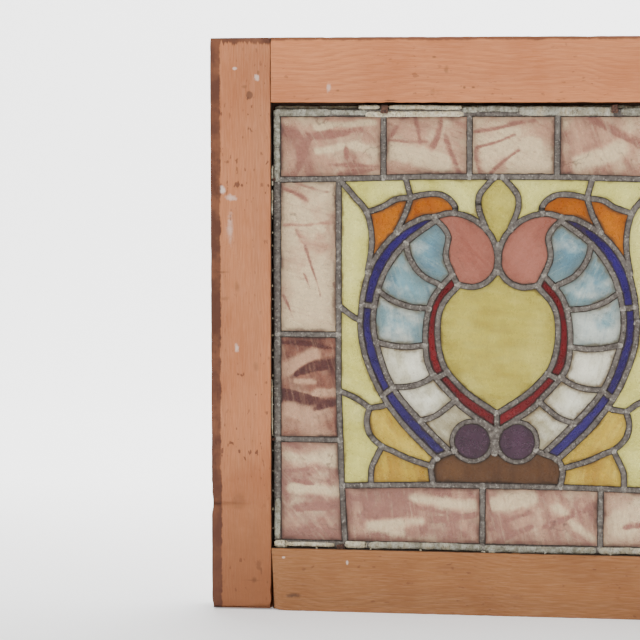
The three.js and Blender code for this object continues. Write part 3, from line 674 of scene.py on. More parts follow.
# Each pane's glass, how far its tone leans to its streaks, and which way they lie, in degrees
PANES = {
    "border_top_1": (MAUVE, 0.5, 25), "border_top_2": (MAUVE, 0.45, 70), "border_top_3": (MAUVE, 0.3, 60),
    "border_top_4": (MAUVE, 0.5, 20), "border_left_1": (MAUVE, 0.2, 75), "border_left_2": (PLUM, 0.5, 15),
    "border_left_3": (MAUVE, 0.75, 40), "border_right_1": (MAUVE, 0.4, 60), "border_right_2": (MAUVE, 0.3, 80),
    "border_right_3": (MAUVE, 0.6, 70), "border_bottom_1": (MAUVE, 0.85, 8), "border_bottom_2": (MAUVE, 0.7, 15),
    "border_bottom_3": (MAUVE, 0.35, 10), "heart": (OLIVE, 0.5, 85), "gold_drop": (OLIVE, 0.4, 60),
    "brown_base": (UMBER, 0.5, 0), "roundel": (GRAPE, 0.5, 0), "scroll": (SALMON, 0.5, 40),
    "cobalt_strip": (COBALT, 0.5, 60), "ruby_strip": (RUBY, 0.5, 70), "crescent_1": (SKY, 0.7, 60),
    "crescent_2": (SKY, 0.55, 20), "crescent_3": (SKY, 0.3, 10), "crescent_4": (CREAM, 0.2, 10),
    "crescent_5": (CREAM, 0.4, 30), "crescent_6": (CREAM, 0.7, 45), "petal_outer": (ORANGE, 0.4, 60),
    "petal_inner": (ORANGE, 0.6, 20), "amber_upper": (AMBER, 0.4, 30), "amber_lower": (AMBER, 0.7, 10),
    "ground_top_outer": (STRAW, 0.35, 20), "ground_top_inner": (STRAW, 0.5, 10),
    "ground_side_upper": (STRAW, 0.4, 80), "ground_side_middle": (STRAW, 0.5, 70),
    "ground_side_lower": (STRAW, 0.6, 80),
}

# Wisps rolled into a pane: it runs from (x, z) to (x, z), fades over a width on its left, and is sharp on
# its right. The last number is how much darker it is than the sheet, or paler where it is negative.
WISPS = {
    "border_top_1": [(-193, 478, -149, 485, 9, 0.9), (-216, 483, -188, 478, 12, 0.6), (-204, 442, -189, 472, 12, 0.8),
                     (-152, 460, -153, 470, 4, 0.8), (-169, 454, -121, 450, 3, 0.6), (-158, 444, -121, 447, 5, 0.6),
                     (-183, 493, -126, 495, 6, -0.8), (-181, 466, -158, 473, 5, -0.7), (-148, 473, -123, 466, 6, -0.6)],
    "border_top_2": [(-83, 502, -78, 476, 3, 0.8), (-36, 443, -51, 482, 5, 0.9), (-63, 471, -56, 494, 8, 0.6),
                     (-111, 478, -91, 502, 5, 0.5), (-106, 466, -56, 456, 14, -0.8), (-111, 478, -71, 477, 2.5, 0.5)],
    "border_top_3": [(-24, 484, 34, 496, 5, 0.7), (-21, 469, 17, 481, 3, 0.8), (-6, 445, 22, 466, 4, 0.9),
                     (-24, 466, -18, 444, 10, 0.5), (19, 454, 34, 471, 14, -0.8)],
    "border_top_4": [(90, 495, 140, 470, 8, 0.8), (150, 450, 200, 480, 6, 0.7), (80, 455, 120, 470, 12, -0.7)],
    "border_left_1": [(-216, 429, -193, 417, 5, 0.9), (-203, 434, -173, 427, 4, 0.6), (-216, 392, -168, 394, 3, 0.9),
                      (-203, 387, -193, 373, 6, 0.5), (-193, 372, -179, 320, 1.8, 1.3), (-196, 343, -188, 321, 1.6, 1.0),
                      (-216, 323, -204, 296, 1.8, 1.1), (-173, 343, -163, 327, 6, 0.5), (-213, 417, -196, 400, 12, -0.8),
                      (-183, 394, -176, 387, 5, -0.6), (-203, 303, -176, 337, 14, -0.7)],
    "border_left_2": [(-196, 242, -163, 249, 14, 1.2), (-189, 219, -216, 225, 13, 1.5), (-179, 205, -163, 209, 12, 0.7),
                      (-216, 272, -163, 269, 5, 0.5), (-213, 249, -186, 262, 9, -1.0), (-203, 235, -186, 232, 4, -0.8),
                      (-183, 222, -163, 222, 7, -0.9), (-213, 205, -186, 198, 8, -0.7)],
    "border_left_3": [(-203, 100, -163, 106, 10, 0.8), (-216, 72, -161, 72, 16, 1.2), (-216, 141, -193, 144, 3, 0.8),
                      (-206, 132, -186, 128, 3, 0.8), (-213, 158, -163, 155, 12, -0.8), (-209, 124, -163, 122, 8, -0.7)],
    "border_bottom_1": [(-153, 117, -91, 108, 5, 0.9), (-91, 108, -23, 100, 3, 0.9), (-137, 97, -93, 100, 8, 0.6),
                        (-67, 93, -23, 100, 6, 1.2), (-51, 91, -35, 79, 5, 0.6), (-133, 123, -111, 110, 5, 0.5),
                        (-83, 116, -25, 112, 8, -0.7), (-129, 89, -77, 92, 8, -0.8), (-151, 83, -95, 82, 7, -0.5)],
    "border_bottom_2": [(-5, 86, 34, 105, 4, 0.7), (3, 74, 34, 89, 6, 0.9), (-11, 124, -7, 96, 3, 0.7),
                        (-3, 110, 34, 121, 12, -0.8), (50, 90, 100, 112, 6, 0.8), (60, 110, 95, 80, 8, -0.6)],
    "border_bottom_3": [(130, 90, 190, 105, 8, 0.9), (140, 118, 200, 112, 6, -0.7), (150, 78, 205, 84, 5, 0.6)],
    "border_right_1": [(170, 420, 190, 450, 6, 0.8), (205, 400, 180, 440, 10, -0.7), (168, 390, 212, 398, 4, 0.8)],
    "border_right_2": [(170, 300, 205, 340, 10, 0.8), (210, 360, 175, 350, 8, -0.8), (172, 270, 200, 280, 5, 0.7)],
    "border_right_3": [(205, 190, 170, 215, 12, 0.9), (170, 150, 210, 160, 8, -0.8), (172, 120, 205, 128, 8, 0.8)],
}


def wisp_tone(x, z, wisps):
    """How far the wisps of a pane darken or pale it at a point of the panel, in millimetres."""
    total = 0.0
    point = Vector((x + 3 * ripple(Vector((x, z)), 26, 1), z + 3 * ripple(Vector((x, z)), 26, 2)))
    for x1, z1, x2, z2, width, strength in wisps:
        way = Vector((x2 - x1, z2 - z1))
        off = point - Vector((x1, z1))
        part = min(max(off.dot(way) / way.length_squared, 0), 1)
        fades = strength < 0 or way.x * off.y > way.y * off.x
        reach = width if fades else min(width, 1.8)
        near = max(1 - (off - way * part).length / reach, 0)
        total += strength * near * near * (3 - 2 * near)
    return total


GRID = 2.5
WISP_GRID = 1.4


def pane_piece(name, source, look, seed, keep=()):
    """A pane cut from its CAD solid. keep holds planes (point, normal), and what lies before each stays."""
    glass_look, tone, turn = look
    bm = bmesh.new()
    bm.from_mesh(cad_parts[source].data)
    bmesh.ops.remove_doubles(bm, verts=bm.verts, dist=1e-6)
    for point, normal in keep:
        geometry = bm.verts[:] + bm.edges[:] + bm.faces[:]
        cut = bmesh.ops.bisect_plane(bm, geom=geometry, plane_co=point, plane_no=normal, clear_inner=True)
        rim_edges = [g for g in cut["geom_cut"] if isinstance(g, bmesh.types.BMEdge)]
        bmesh.ops.holes_fill(bm, edges=rim_edges, sides=0)
    low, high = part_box(source)
    wisps = WISPS.get(source[len("glass_"):], ())
    for axis in (0, 2):
        count = int((high[axis] - low[axis]) / ((WISP_GRID if wisps else GRID) * MM))
        normal = Vector((1, 0, 0)) if axis == 0 else Vector((0, 0, 1))
        for k in range(1, count + 1):
            at = low[axis] + (high[axis] - low[axis]) * k / (count + 1)
            geometry = bm.verts[:] + bm.edges[:] + bm.faces[:]
            bmesh.ops.bisect_plane(bm, geom=geometry, plane_co=normal * at, plane_no=normal)
    layers = {key: bm.verts.layers.float.new(key) for key in ("rim", "cut", "tone", "turn")}
    for vert in bm.verts:
        _, index, distance = lead_tree.find((vert.co.x / MM, vert.co.z / MM, 0))
        vert[layers["rim"]] = distance - samples[index][1]
        vert[layers["cut"]] = seed * 3.7
        vert[layers["tone"]] = tone + wisp_tone(vert.co.x / MM, vert.co.z / MM, wisps)
        vert[layers["turn"]] = math.radians(turn)
    pane = mesh_object(name, bm, glass_look, smooth=False)
    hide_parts(source)
    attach(pane, "root")


def tie_planes(tie, sign):
    """The two sides of the joint under a tie, as a plane that faces up and one that faces down."""
    (x1, z1), (x2, z2) = STRIP_TIES[tie]
    middle = Vector((sign * (x1 + x2) / 2, 0, (z1 + z2) / 2)) * MM
    up = Vector((-sign * (z2 - z1), 0, x2 - x1)).normalized()
    half_joint = 1.1 * MM
    return (middle + up * half_joint, up), (middle - up * half_joint, -up)


STRIP_PARTS = {"cobalt_strip": ("cobalt_tie_1", "cobalt_tie_2"), "ruby_strip": ("ruby_tie",)}
for seed, source in enumerate(sorted(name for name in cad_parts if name.startswith("glass_"))):
    name = source[len("glass_"):]
    kind = name if name in PANES else name.rsplit("_", 1)[0]
    sign = -1 if name.endswith("_right") else 1
    tone_look = PANES[kind]
    look = (tone_look[0], tone_look[1], sign * tone_look[2])
    if kind not in STRIP_PARTS:
        pane_piece(f"pane_{name}", source, look, seed)
        continue
    above = ()
    for part, tie in enumerate((*STRIP_PARTS[kind], None)):
        below = ()
        if tie:
            upper_side, lower_side = tie_planes(tie, sign)
            below = (upper_side,)
        pane_piece(f"pane_{name}_{part + 1}", source, look, seed + 0.3 * part, (*above, *below))
        if tie:
            above = (lower_side,)

# ---------------------------------------------------------------- the sash
# Four bare pine members, tenoned at the corners and rabbeted on the front for the panel. A dark band along their
# outer edges and top is partly old finish left on the wood and partly painted shade; wear has rounded, bruised and
# flecked the faces.

STILE_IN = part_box("stile_left")[1][0]
SASH_OUT = -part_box("stile_left")[0][0]
SASH_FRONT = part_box("stile_left")[0][1]
SASH_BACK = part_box("stile_left")[1][1]
SASH_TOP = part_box("stile_left")[1][2]
FACE_IN = SASH_OUT - 0.061
RABBET_FLOOR = LEAD_BACK * MM + 0.002
RAIL_TOP_EDGE = 0.515
RAIL_BOTTOM_EDGE = 0.064
LIP = 0.008


def member(name, outline, start, length, along, wear_seed, material, dents=()):
    """A length of wood: an outline of (u, y) points given its length, its arrises eased, dented and worn."""
    bm = bmesh.new()
    across = "x" if along == "z" else "z"
    verts = []
    for u, y in outline:
        vert = bm.verts.new((0, y, 0))
        setattr(vert.co, across, u)
        setattr(vert.co, along, start)
        verts.append(vert)
    face = bm.faces.new(verts)
    made = bmesh.ops.extrude_face_region(bm, geom=[face])["geom"]
    for vert in (g for g in made if isinstance(g, bmesh.types.BMVert)):
        setattr(vert.co, along, start + length)
    bmesh.ops.recalc_face_normals(bm, faces=bm.faces)
    bmesh.ops.bevel(bm, geom=bm.edges[:], offset=0.0011, segments=3, profile=0.5, material=-1, affect="EDGES")
    axis = Vector((0, 0, 1)) if along == "z" else Vector((1, 0, 0))
    for k in range(1, int(length / 0.004)):
        geometry = bm.verts[:] + bm.edges[:] + bm.faces[:]
        at = axis * (start + length * k / int(length / 0.004))
        bmesh.ops.bisect_plane(bm, geom=geometry, plane_co=at, plane_no=axis)
    bm.normal_update()
    moves = {}
    for vert in bm.verts:
        sharp = max((e.calc_face_angle(0) for e in vert.link_edges if len(e.link_faces) == 2), default=0)
        worn = 0.00012 * noise.noise(vert.co * 55 + Vector((wear_seed, 0, 0)))
        if sharp > 0.2:
            worn += 0.0005 * max(noise.noise(vert.co * 150 + Vector((0, wear_seed, 0))), 0)
            worn += 0.0007 * max(noise.noise(vert.co * 40 + Vector((0, wear_seed, 3))) - 0.2, 0)
        for spot, radius, depth in dents:
            near = max(1 - (vert.co - Vector(spot)).length / radius, 0)
            worn += depth * near * near * (3 - 2 * near)
        moves[vert] = vert.normal * max(worn, 0)
    for vert, move in moves.items():
        vert.co -= move
    piece = mesh_object(f"wood_{name}", bm, material)
    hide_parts(name)
    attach(piece, "root")
    return piece


def rabbet_painted_shade(tree, place):
    """1 on the walls of the rabbet behind the sash's face, which are painted near black as the shade inside the rabbet.
    """
    at = node(tree, "ShaderNodeSeparateXYZ")
    join(tree, place, at.inputs[0])
    inside_x = between(tree, sums(tree, "ABSOLUTE", at.outputs["X"]), FACE_IN + 0.0008, FACE_IN + 0.0002)
    top = between(tree, at.outputs["Z"], RAIL_TOP_EDGE + 0.0008, RAIL_TOP_EDGE + 0.0002)
    bottom = between(tree, at.outputs["Z"], RAIL_BOTTOM_EDGE - 0.0008, RAIL_BOTTOM_EDGE - 0.0002)
    behind = between(tree, at.outputs["Y"], SASH_FRONT + 0.0008, SASH_FRONT + 0.0026)
    before = between(tree, at.outputs["Y"], RABBET_FLOOR + 0.004, RABBET_FLOOR + 0.001)
    inside = sums(tree, "MULTIPLY", sums(tree, "MULTIPLY", inside_x, top), bottom)
    return sums(tree, "MULTIPLY", sums(tree, "MULTIPLY", behind, before), inside)


def mark_group():
    """A ragged oval mark on a face: 1 inside it and 0 outside."""
    group = bpy.data.node_groups.new("oval_mark", "ShaderNodeTree")
    for name, kind in (("Place", "NodeSocketVector"), ("Middle", "NodeSocketVector"), ("Size", "NodeSocketVector"),
                       ("Ragged", "NodeSocketFloat"), ("Softness", "NodeSocketFloat")):
        socket(group, kind, name)
    socket(group, "NodeSocketFloat", "Mask", True)
    given = node(group, "NodeGroupInput").outputs
    result = node(group, "NodeGroupOutput").inputs
    off = node(group, "ShaderNodeVectorMath", operation="SUBTRACT")
    join(group, given["Place"], off.inputs[0])
    join(group, given["Middle"], off.inputs[1])
    scaled = node(group, "ShaderNodeVectorMath", operation="DIVIDE")
    join(group, off.outputs["Vector"], scaled.inputs[0])
    join(group, given["Size"], scaled.inputs[1])
    far = node(group, "ShaderNodeVectorMath", operation="LENGTH")
    join(group, scaled.outputs["Vector"], far.inputs[0])
    fray = noise_map(group, given["Place"], 260, 4, 0.6)
    frayed = sums(group, "MULTIPLY_ADD", sums(group, "SUBTRACT", fray, 0.5), given["Ragged"], far.outputs["Value"])
    inner = sums(group, "SUBTRACT", 1.0, given["Softness"])
    join(group, between(group, frayed, 1.0, inner), result["Mask"])
    return group


OVAL = mark_group()


def pine_group():
    """Bare pine with its length along Z: grain lines, pores, worm-brown flecks, grime and end grain."""
    group = bpy.data.node_groups.new("bare_pine", "ShaderNodeTree")
    for name in ("Early wood", "Late wood", "Grey wood", "Fleck"):
        socket(group, "NodeSocketColor", name)
    for name in ("Place", "Way", "Knot"):
        socket(group, "NodeSocketVector", name)
    for name in ("Line scale", "Line amount", "Fleck amount", "Grey amount"):
        socket(group, "NodeSocketFloat", name)
    socket(group, "NodeSocketColor", "Color", True)
    socket(group, "NodeSocketFloat", "Roughness", True)
    socket(group, "NodeSocketFloat", "Height", True)
    given = node(group, "NodeGroupInput").outputs
    result = node(group, "NodeGroupOutput").inputs
    place = given["Place"]
    long_way = node(group, "ShaderNodeVectorMath", operation="MULTIPLY")
    join(group, place, long_way.inputs[0])
    long_way.inputs[1].default_value = (1, 1, 0.045)
    long_place = long_way.outputs["Vector"]
    off = node(group, "ShaderNodeVectorMath", operation="SUBTRACT")
    join(group, place, off.inputs[0])
    join(group, given["Knot"], off.inputs[1])
    oval = node(group, "ShaderNodeVectorMath", operation="MULTIPLY")
    join(group, off.outputs["Vector"], oval.inputs[0])
    oval.inputs[1].default_value = (1, 1, 0.62)
    knot = node(group, "ShaderNodeVectorMath", operation="LENGTH")
    join(group, oval.outputs["Vector"], knot.inputs[0])
    knot_far = knot.outputs["Value"]
    split = node(group, "ShaderNodeSeparateXYZ")
    join(group, long_place, split.inputs[0])
    sway = noise_map(group, place, 7, 2, 0.5)
    fine_sway = noise_map(group, long_place, 60, 2, 0.5)
    lines_at = sums(group, "ADD", split.outputs["X"], sums(group, "MULTIPLY", sway, 0.055))
    lines_at = sums(group, "ADD", lines_at, sums(group, "MULTIPLY", fine_sway, 0.004))
    lines_at = sums(group, "ADD", lines_at, sums(group, "MULTIPLY", split.outputs["Y"], 0.6))
    pull = between(group, knot_far, 0.045, 0.004)
    bend = node(group, "ShaderNodeMix", data_type="FLOAT")
    join(group, pull, bend.inputs[0])
    join(group, lines_at, bend.inputs[2])
    join(group, sums(group, "MULTIPLY", knot_far, 0.9), bend.inputs[3])
    phase = sums(group, "MULTIPLY", bend.outputs[0], given["Line scale"])
    saw = sums(group, "FRACT", phase)
    ridge = sums(group, "MULTIPLY", between(group, saw, 0.15, 0.85), between(group, saw, 1.0, 0.9))
    fade = between(group, noise_map(group, long_place, 32, 3, 0.6), 0.35, 0.65, 0.25, 1.0)
    line_amount = sums(group, "MULTIPLY", sums(group, "MULTIPLY", ridge, fade), given["Line amount"])
    colour = mix(group, line_amount, given["Early wood"], given["Late wood"])
    broad = between(group, noise_map(group, long_place, 24, 4, 0.6), 0.35, 0.68)
    colour = mix(group, sums(group, "MULTIPLY", broad, given["Grey amount"]), colour, given["Grey wood"])
    blush = between(group, noise_map(group, place, 16, 3, 0.55), 0.42, 0.70, 0.0, 0.45)
    colour = mix(group, blush, colour, given["Late wood"])
    fibre = noise_map(group, long_place, 1300, 3, 0.6)
    colour = mix(group, between(group, fibre, 0.40, 0.72, 0.0, 0.18), colour, (0.20, 0.085, 0.042))
    colour = mix(group, between(group, fibre, 0.60, 0.30, 0.0, 0.10), colour, (0.80, 0.50, 0.34))
    streched = node(group, "ShaderNodeVectorMath", operation="MULTIPLY")
    join(group, place, streched.inputs[0])
    streched.inputs[1].default_value = (1, 1, 0.42)
    pit = noise_map(group, streched.outputs["Vector"], 300, 2, 0.45)
    where = between(group, noise_map(group, place, 14, 3, 0.6), 0.38, 0.62)
    fleck = sums(group, "MULTIPLY", between(group, pit, 0.655, 0.70), where)
    colour = mix(group, sums(group, "MULTIPLY", fleck, given["Fleck amount"]), colour, given["Fleck"])
    core = between(group, knot_far, 0.012, 0.004, 0.0, 0.6)
    colour = mix(group, core, colour, given["Fleck"])
    turned = node(group, "ShaderNodeTexCoord").outputs["Normal"]
    facing = node(group, "ShaderNodeVectorMath", operation="DOT_PRODUCT")
    join(group, turned, facing.inputs[0])
    join(group, given["Way"], facing.inputs[1])
    end_grain = between(group, sums(group, "ABSOLUTE", facing.outputs["Value"]), 0.6, 0.8)
    rings = sums(group, "FRACT", sums(group, "MULTIPLY", sums(group, "ADD", split.outputs["Y"], sums(
        group, "MULTIPLY", split.outputs["X"], 0.2)), 320.0))
    end_colour = mix(group, rings, (0.23, 0.11, 0.065), (0.38, 0.21, 0.13))
    colour = mix(group, end_grain, colour, end_colour)
    join(group, colour, result["Color"])
    join(group, between(group, fibre, 0.3, 0.7, 0.82, 0.66), result["Roughness"])
    height = sums(group, "MULTIPLY_ADD", line_amount, 0.6, sums(group, "MULTIPLY", fibre, 0.8))
    height = sums(group, "SUBTRACT", height, sums(group, "MULTIPLY", fleck, 1.4))
    join(group, height, result["Height"])
    return group


PINE = pine_group()
# Dark brown of the band along the sash's outer edges and top: partly old finish, partly painted shade.
OLD_FINISH_AND_SHADE = (0.095, 0.034, 0.020)
# Darker brown that the stiles turn towards the bottom.
FOOT_DARK_BROWN = (0.185, 0.068, 0.027)


def pine(name, early, late, grey, along, knot=(9, 9, 9), marks=(), **values):
    """A pine finish. along is the way its length lies, and each mark is (x, z, half width, half height,
    ragged, soft, strength, colour)."""
    material, tree, shader = plain_material(name)
    place = node(tree, "ShaderNodeTexCoord").outputs["Object"]
    look = node(tree, "ShaderNodeGroup", node_tree=PINE)
    if along == "x":
        laid = node(tree, "ShaderNodeMapping")
        laid.inputs["Rotation"].default_value = (0, math.radians(-90), 0)
        join(tree, place, laid.inputs["Vector"])
        join(tree, laid.outputs["Vector"], look.inputs["Place"])
    else:
        join(tree, place, look.inputs["Place"])
    look.inputs["Way"].default_value = (1, 0, 0) if along == "x" else (0, 0, 1)
    look.inputs["Knot"].default_value = knot
    for socket_name, value in (("Early wood", early), ("Late wood", late), ("Grey wood", grey),
                               ("Fleck", (0.13, 0.048, 0.028))):
        look.inputs[socket_name].default_value = (*value, 1)
    settings = {"Line scale": 260, "Line amount": 0.5, "Fleck amount": 0.7, "Grey amount": 0.5}
    settings.update({key.replace("_", " ").capitalize(): value for key, value in values.items()})
    for socket_name, value in settings.items():
        look.inputs[socket_name].default_value = value
    colour = look.outputs["Color"]
    for x, z, half_wide, half_high, ragged, soft, strength, tint in marks:
        oval = node(tree, "ShaderNodeGroup", node_tree=OVAL)
        join(tree, place, oval.inputs["Place"])
        oval.inputs["Middle"].default_value = (x, SASH_FRONT, z)
        oval.inputs["Size"].default_value = (half_wide, 0.006, half_high)
        oval.inputs["Ragged"].default_value = ragged
        oval.inputs["Softness"].default_value = soft
        colour = mix(tree, sums(tree, "MULTIPLY", oval.outputs["Mask"], strength), colour, tint)
    if along == "z":
        spread = node(tree, "ShaderNodeSeparateXYZ")
        join(tree, place, spread.inputs[0])
        fray = noise_map(tree, place, 90, 4, 0.6)
        comb = node(tree, "ShaderNodeMapping")
        comb.inputs["Scale"].default_value = (1, 1, 0.12)
        join(tree, place, comb.inputs["Vector"])
        teeth = noise_map(tree, comb.outputs["Vector"], 420, 2, 0.5)
        # Towards the bottom the stiles turn a darker brown.
        toward_foot = sums(tree, "MULTIPLY_ADD", fray, 0.08, spread.outputs["Z"])
        colour = mix(tree, between(tree, toward_foot, 0.26, 0.05, 0.0, 0.72), colour, FOOT_DARK_BROWN)
        # A dark band along the outer edge and the top: partly old finish, partly painted shade.
        side_far = sums(tree, "SUBTRACT", SASH_OUT, sums(tree, "ABSOLUTE", spread.outputs["X"]))
        strip = between(tree, sums(tree, "MULTIPLY_ADD", fray, -0.006, side_far), 0.0080, 0.0064)
        top_far = sums(tree, "SUBTRACT", SASH_TOP, spread.outputs["Z"])
        top = between(tree, sums(tree, "MULTIPLY_ADD", teeth, -0.012, top_far), 0.0012, -0.0016)
        old = sums(tree, "MAXIMUM", strip, top)
        patchy = between(tree, noise_map(tree, place, 45, 4, 0.6), 0.3, 0.62, 0.72, 0.98)
        colour = mix(tree, sums(tree, "MULTIPLY", old, patchy), colour, OLD_FINISH_AND_SHADE)
    else:
        spread = node(tree, "ShaderNodeSeparateXYZ")
        join(tree, place, spread.inputs[0])
        # A dark band along the top edge: partly old finish, partly painted shade.
        top_far = sums(tree, "SUBTRACT", SASH_TOP, spread.outputs["Z"])
        fray = noise_map(tree, place, 60, 3, 0.6)
        top = between(tree, sums(tree, "MULTIPLY_ADD", fray, -0.006, top_far), 0.0012, -0.0010, 0.0, 0.75)
        colour = mix(tree, top, colour, OLD_FINISH_AND_SHADE)
    # Painted shade: the rabbet's walls are coloured near black.
    colour = mix(tree, sums(tree, "MULTIPLY", rabbet_painted_shade(tree, place), 0.93), colour, (0.022, 0.016, 0.012))
    join(tree, colour, shader.inputs["Base Color"])
    join(tree, look.outputs["Roughness"], shader.inputs["Roughness"])
    shader.inputs["Specular IOR Level"].default_value = 0.25
    relief(tree, shader, look.outputs["Height"], 0.55, 0.0007)
    return material


BROWN = (0.20, 0.085, 0.04)
SOOTY = (0.055, 0.030, 0.022)
LIMEY = (0.72, 0.60, 0.52)
STILE_MARKS = [
    (-0.249, 0.5225, 0.0044, 0.0048, 0.5, 0.35, 0.65, SOOTY), (-0.264, 0.549, 0.0028, 0.002, 1.2, 0.6, 0.6, LIMEY),
    (-0.2415, 0.540, 0.0035, 0.004, 1.6, 0.5, 0.6, LIMEY), (-0.254, 0.531, 0.0035, 0.0022, 1.4, 0.5, 0.6, BROWN),
    (-0.240, 0.545, 0.0016, 0.0030, 0.8, 0.5, 0.7, BROWN),
    (-0.277, 0.428, 0.0042, 0.0058, 1.4, 0.7, 0.75, LIMEY), (-0.268, 0.420, 0.007, 0.0045, 2.0, 0.9, 0.5, LIMEY),
    (-0.269, 0.388, 0.0045, 0.020, 1.6, 1.0, 0.4, LIMEY), (-0.262, 0.330, 0.0038, 0.007, 0.9, 0.8, 0.5, BROWN),
    (-0.2625, 0.269, 0.003, 0.007, 1.8, 0.8, 0.6, LIMEY), (-0.243, 0.249, 0.004, 0.007, 0.8, 0.8, 0.45, BROWN),
    (-0.261, 0.111, 0.0095, 0.0105, 0.5, 0.5, 0.4, BROWN), (-0.241, 0.047, 0.0045, 0.0065, 1.3, 0.6, 0.55, SOOTY),
    (-0.2455, 0.031, 0.0035, 0.0040, 1.0, 0.8, 0.75, SOOTY), (-0.247, 0.0305, 0.014, 0.0014, 1.2, 0.9, 0.5, SOOTY),
    (-0.238, 0.040, 0.0012, 0.0065, 1.2, 0.8, 0.7, SOOTY), (-0.275, 0.318, 0.006, 0.003, 1.2, 0.8, 0.5, BROWN),
    (-0.279, 0.345, 0.012, 0.0013, 1.2, 0.9, 0.5, SOOTY),
]
PINE_STILE = pine("pine_stiles", (0.52, 0.190, 0.076), (0.355, 0.108, 0.040), (0.395, 0.175, 0.088), "z",
                  knot=(-0.292, SASH_FRONT, 0.309), marks=STILE_MARKS, line_scale=330, line_amount=0.45,
                  fleck_amount=0.85)
PINE_TOP = pine("pine_top_rail", (0.63, 0.225, 0.085), (0.455, 0.140, 0.048), (0.43, 0.165, 0.078), "x",
                knot=(0.545, SASH_FRONT, 0.06), marks=[
                    (-0.052, 0.547, 0.003, 0.006, 1.4, 0.8, 0.5, BROWN), (-0.064, 0.560, 0.0025, 0.0014, 0.8, 0.6, 0.8, BROWN),
                    (-0.034, 0.530, 0.0018, 0.0016, 0.8, 0.6, 0.8, BROWN), (-0.025, 0.530, 0.0022, 0.0014, 0.8, 0.6, 0.8, BROWN),
                    (-0.160, 0.527, 0.0020, 0.0013, 0.8, 0.6, 0.7, BROWN), (-0.169, 0.530, 0.003, 0.006, 2.0, 0.9, 0.5, LIMEY),
                    (-0.065, 0.525, 0.010, 0.006, 2.6, 1.0, 0.35, BROWN), (-0.108, 0.517, 0.009, 0.0010, 1.5, 0.8, 0.8, SOOTY),
                ], line_scale=150, line_amount=0.42, fleck_amount=0.35, grey_amount=0.35)
PINE_BOTTOM = pine("pine_bottom_rail", (0.315, 0.130, 0.045), (0.205, 0.075, 0.024), (0.225, 0.108, 0.046), "x",
                   marks=[(-0.205, 0.016, 0.011, 0.0032, 1.4, 0.9, 0.7, SOOTY), (0.02, 0.020, 0.012, 0.004, 1.6, 1.0, 0.5, BROWN),
                          (-0.215, 0.055, 0.002, 0.0014, 1.0, 0.6, 0.6, LIMEY), (-0.150, 0.051, 0.0016, 0.003, 1.0, 0.6, 0.6, LIMEY),
                          (-0.05, 0.048, 0.02, 0.004, 1.6, 1.0, 0.35, BROWN)],
                   line_scale=230, line_amount=0.55, fleck_amount=0.5, grey_amount=0.5)

for hand, sign in (("left", -1), ("right", 1)):
    outline = [(sign * SASH_OUT, SASH_FRONT), (sign * FACE_IN, SASH_FRONT), (sign * FACE_IN, RABBET_FLOOR),
               (sign * (FACE_IN - LIP), RABBET_FLOOR), (sign * (FACE_IN - LIP), SASH_BACK), (sign * SASH_OUT, SASH_BACK)]
    dents = [] if sign > 0 else [
        ((-0.290, SASH_FRONT, 0.110), 0.013, 0.0018), ((-0.289, SASH_FRONT, 0.127), 0.005, 0.0010),
        ((-0.249, SASH_FRONT, 0.5225), 0.0055, 0.0009), ((-0.2415, SASH_FRONT, 0.540), 0.0045, 0.0006),
        ((-0.264, SASH_FRONT, 0.549), 0.004, 0.0005), ((-0.289, SASH_FRONT, 0.001), 0.010, 0.0022),
        ((-0.229, SASH_FRONT, 0.001), 0.010, 0.0030), ((-0.228, SASH_FRONT, 0.020), 0.007, 0.0010),
        ((-0.289, SASH_FRONT, 0.579), 0.005, 0.0008),
    ]
    member(f"stile_{hand}", outline, 0.0, SASH_TOP, "z", 3.1 + sign, PINE_STILE, dents)
RAIL_HALF = FACE_IN - 0.0003
OUTLINES = {
    "rail_top": [(SASH_TOP, SASH_FRONT), (RAIL_TOP_EDGE, SASH_FRONT), (RAIL_TOP_EDGE, RABBET_FLOOR),
                 (RAIL_TOP_EDGE - LIP, RABBET_FLOOR), (RAIL_TOP_EDGE - LIP, SASH_BACK), (SASH_TOP, SASH_BACK)],
    "rail_bottom": [(0, SASH_FRONT), (RAIL_BOTTOM_EDGE, SASH_FRONT), (RAIL_BOTTOM_EDGE, RABBET_FLOOR),
                    (RAIL_BOTTOM_EDGE + LIP, RABBET_FLOOR), (RAIL_BOTTOM_EDGE + LIP, SASH_BACK), (0, SASH_BACK)],
}
RAIL_DENTS = {
    "rail_top": [((-0.108, SASH_FRONT, 0.515), 0.008, 0.0010), ((-0.17, SASH_FRONT, 0.579), 0.006, 0.0006)],
    "rail_bottom": [((-0.228, SASH_FRONT, 0.001), 0.012, 0.0030), ((-0.226, SASH_FRONT, 0.030), 0.006, 0.0008),
                    ((0.02, SASH_FRONT, 0.064), 0.009, 0.0010)],
}
for name, finish in (("rail_top", PINE_TOP), ("rail_bottom", PINE_BOTTOM)):
    member(name, OUTLINES[name], -RAIL_HALF, 2 * RAIL_HALF, "x", 5.7, finish, RAIL_DENTS[name])

# ---------------------------------------------------------------- the nails
# Square cut nails and small brads of iron, pushed into the rabbet in front of the panel's lead before it was
# puttied. They have rusted brown.

rust, tree, shader = plain_material("brown_rust")
place = node(tree, "ShaderNodeTexCoord").outputs["Object"]
scale_rust = noise_map(tree, place, 520, 5, 0.65)
colour = mix(tree, between(tree, scale_rust, 0.36, 0.66), (0.035, 0.018, 0.014), (0.135, 0.060, 0.034))
join(tree, colour, shader.inputs["Base Color"])
join(tree, between(tree, scale_rust, 0.3, 0.7, 0.9, 0.7), shader.inputs["Roughness"])
shader.inputs["Metallic"].default_value = 0.2
relief(tree, shader, noise_map(tree, place, 900, 4), 0.7, 0.0006)


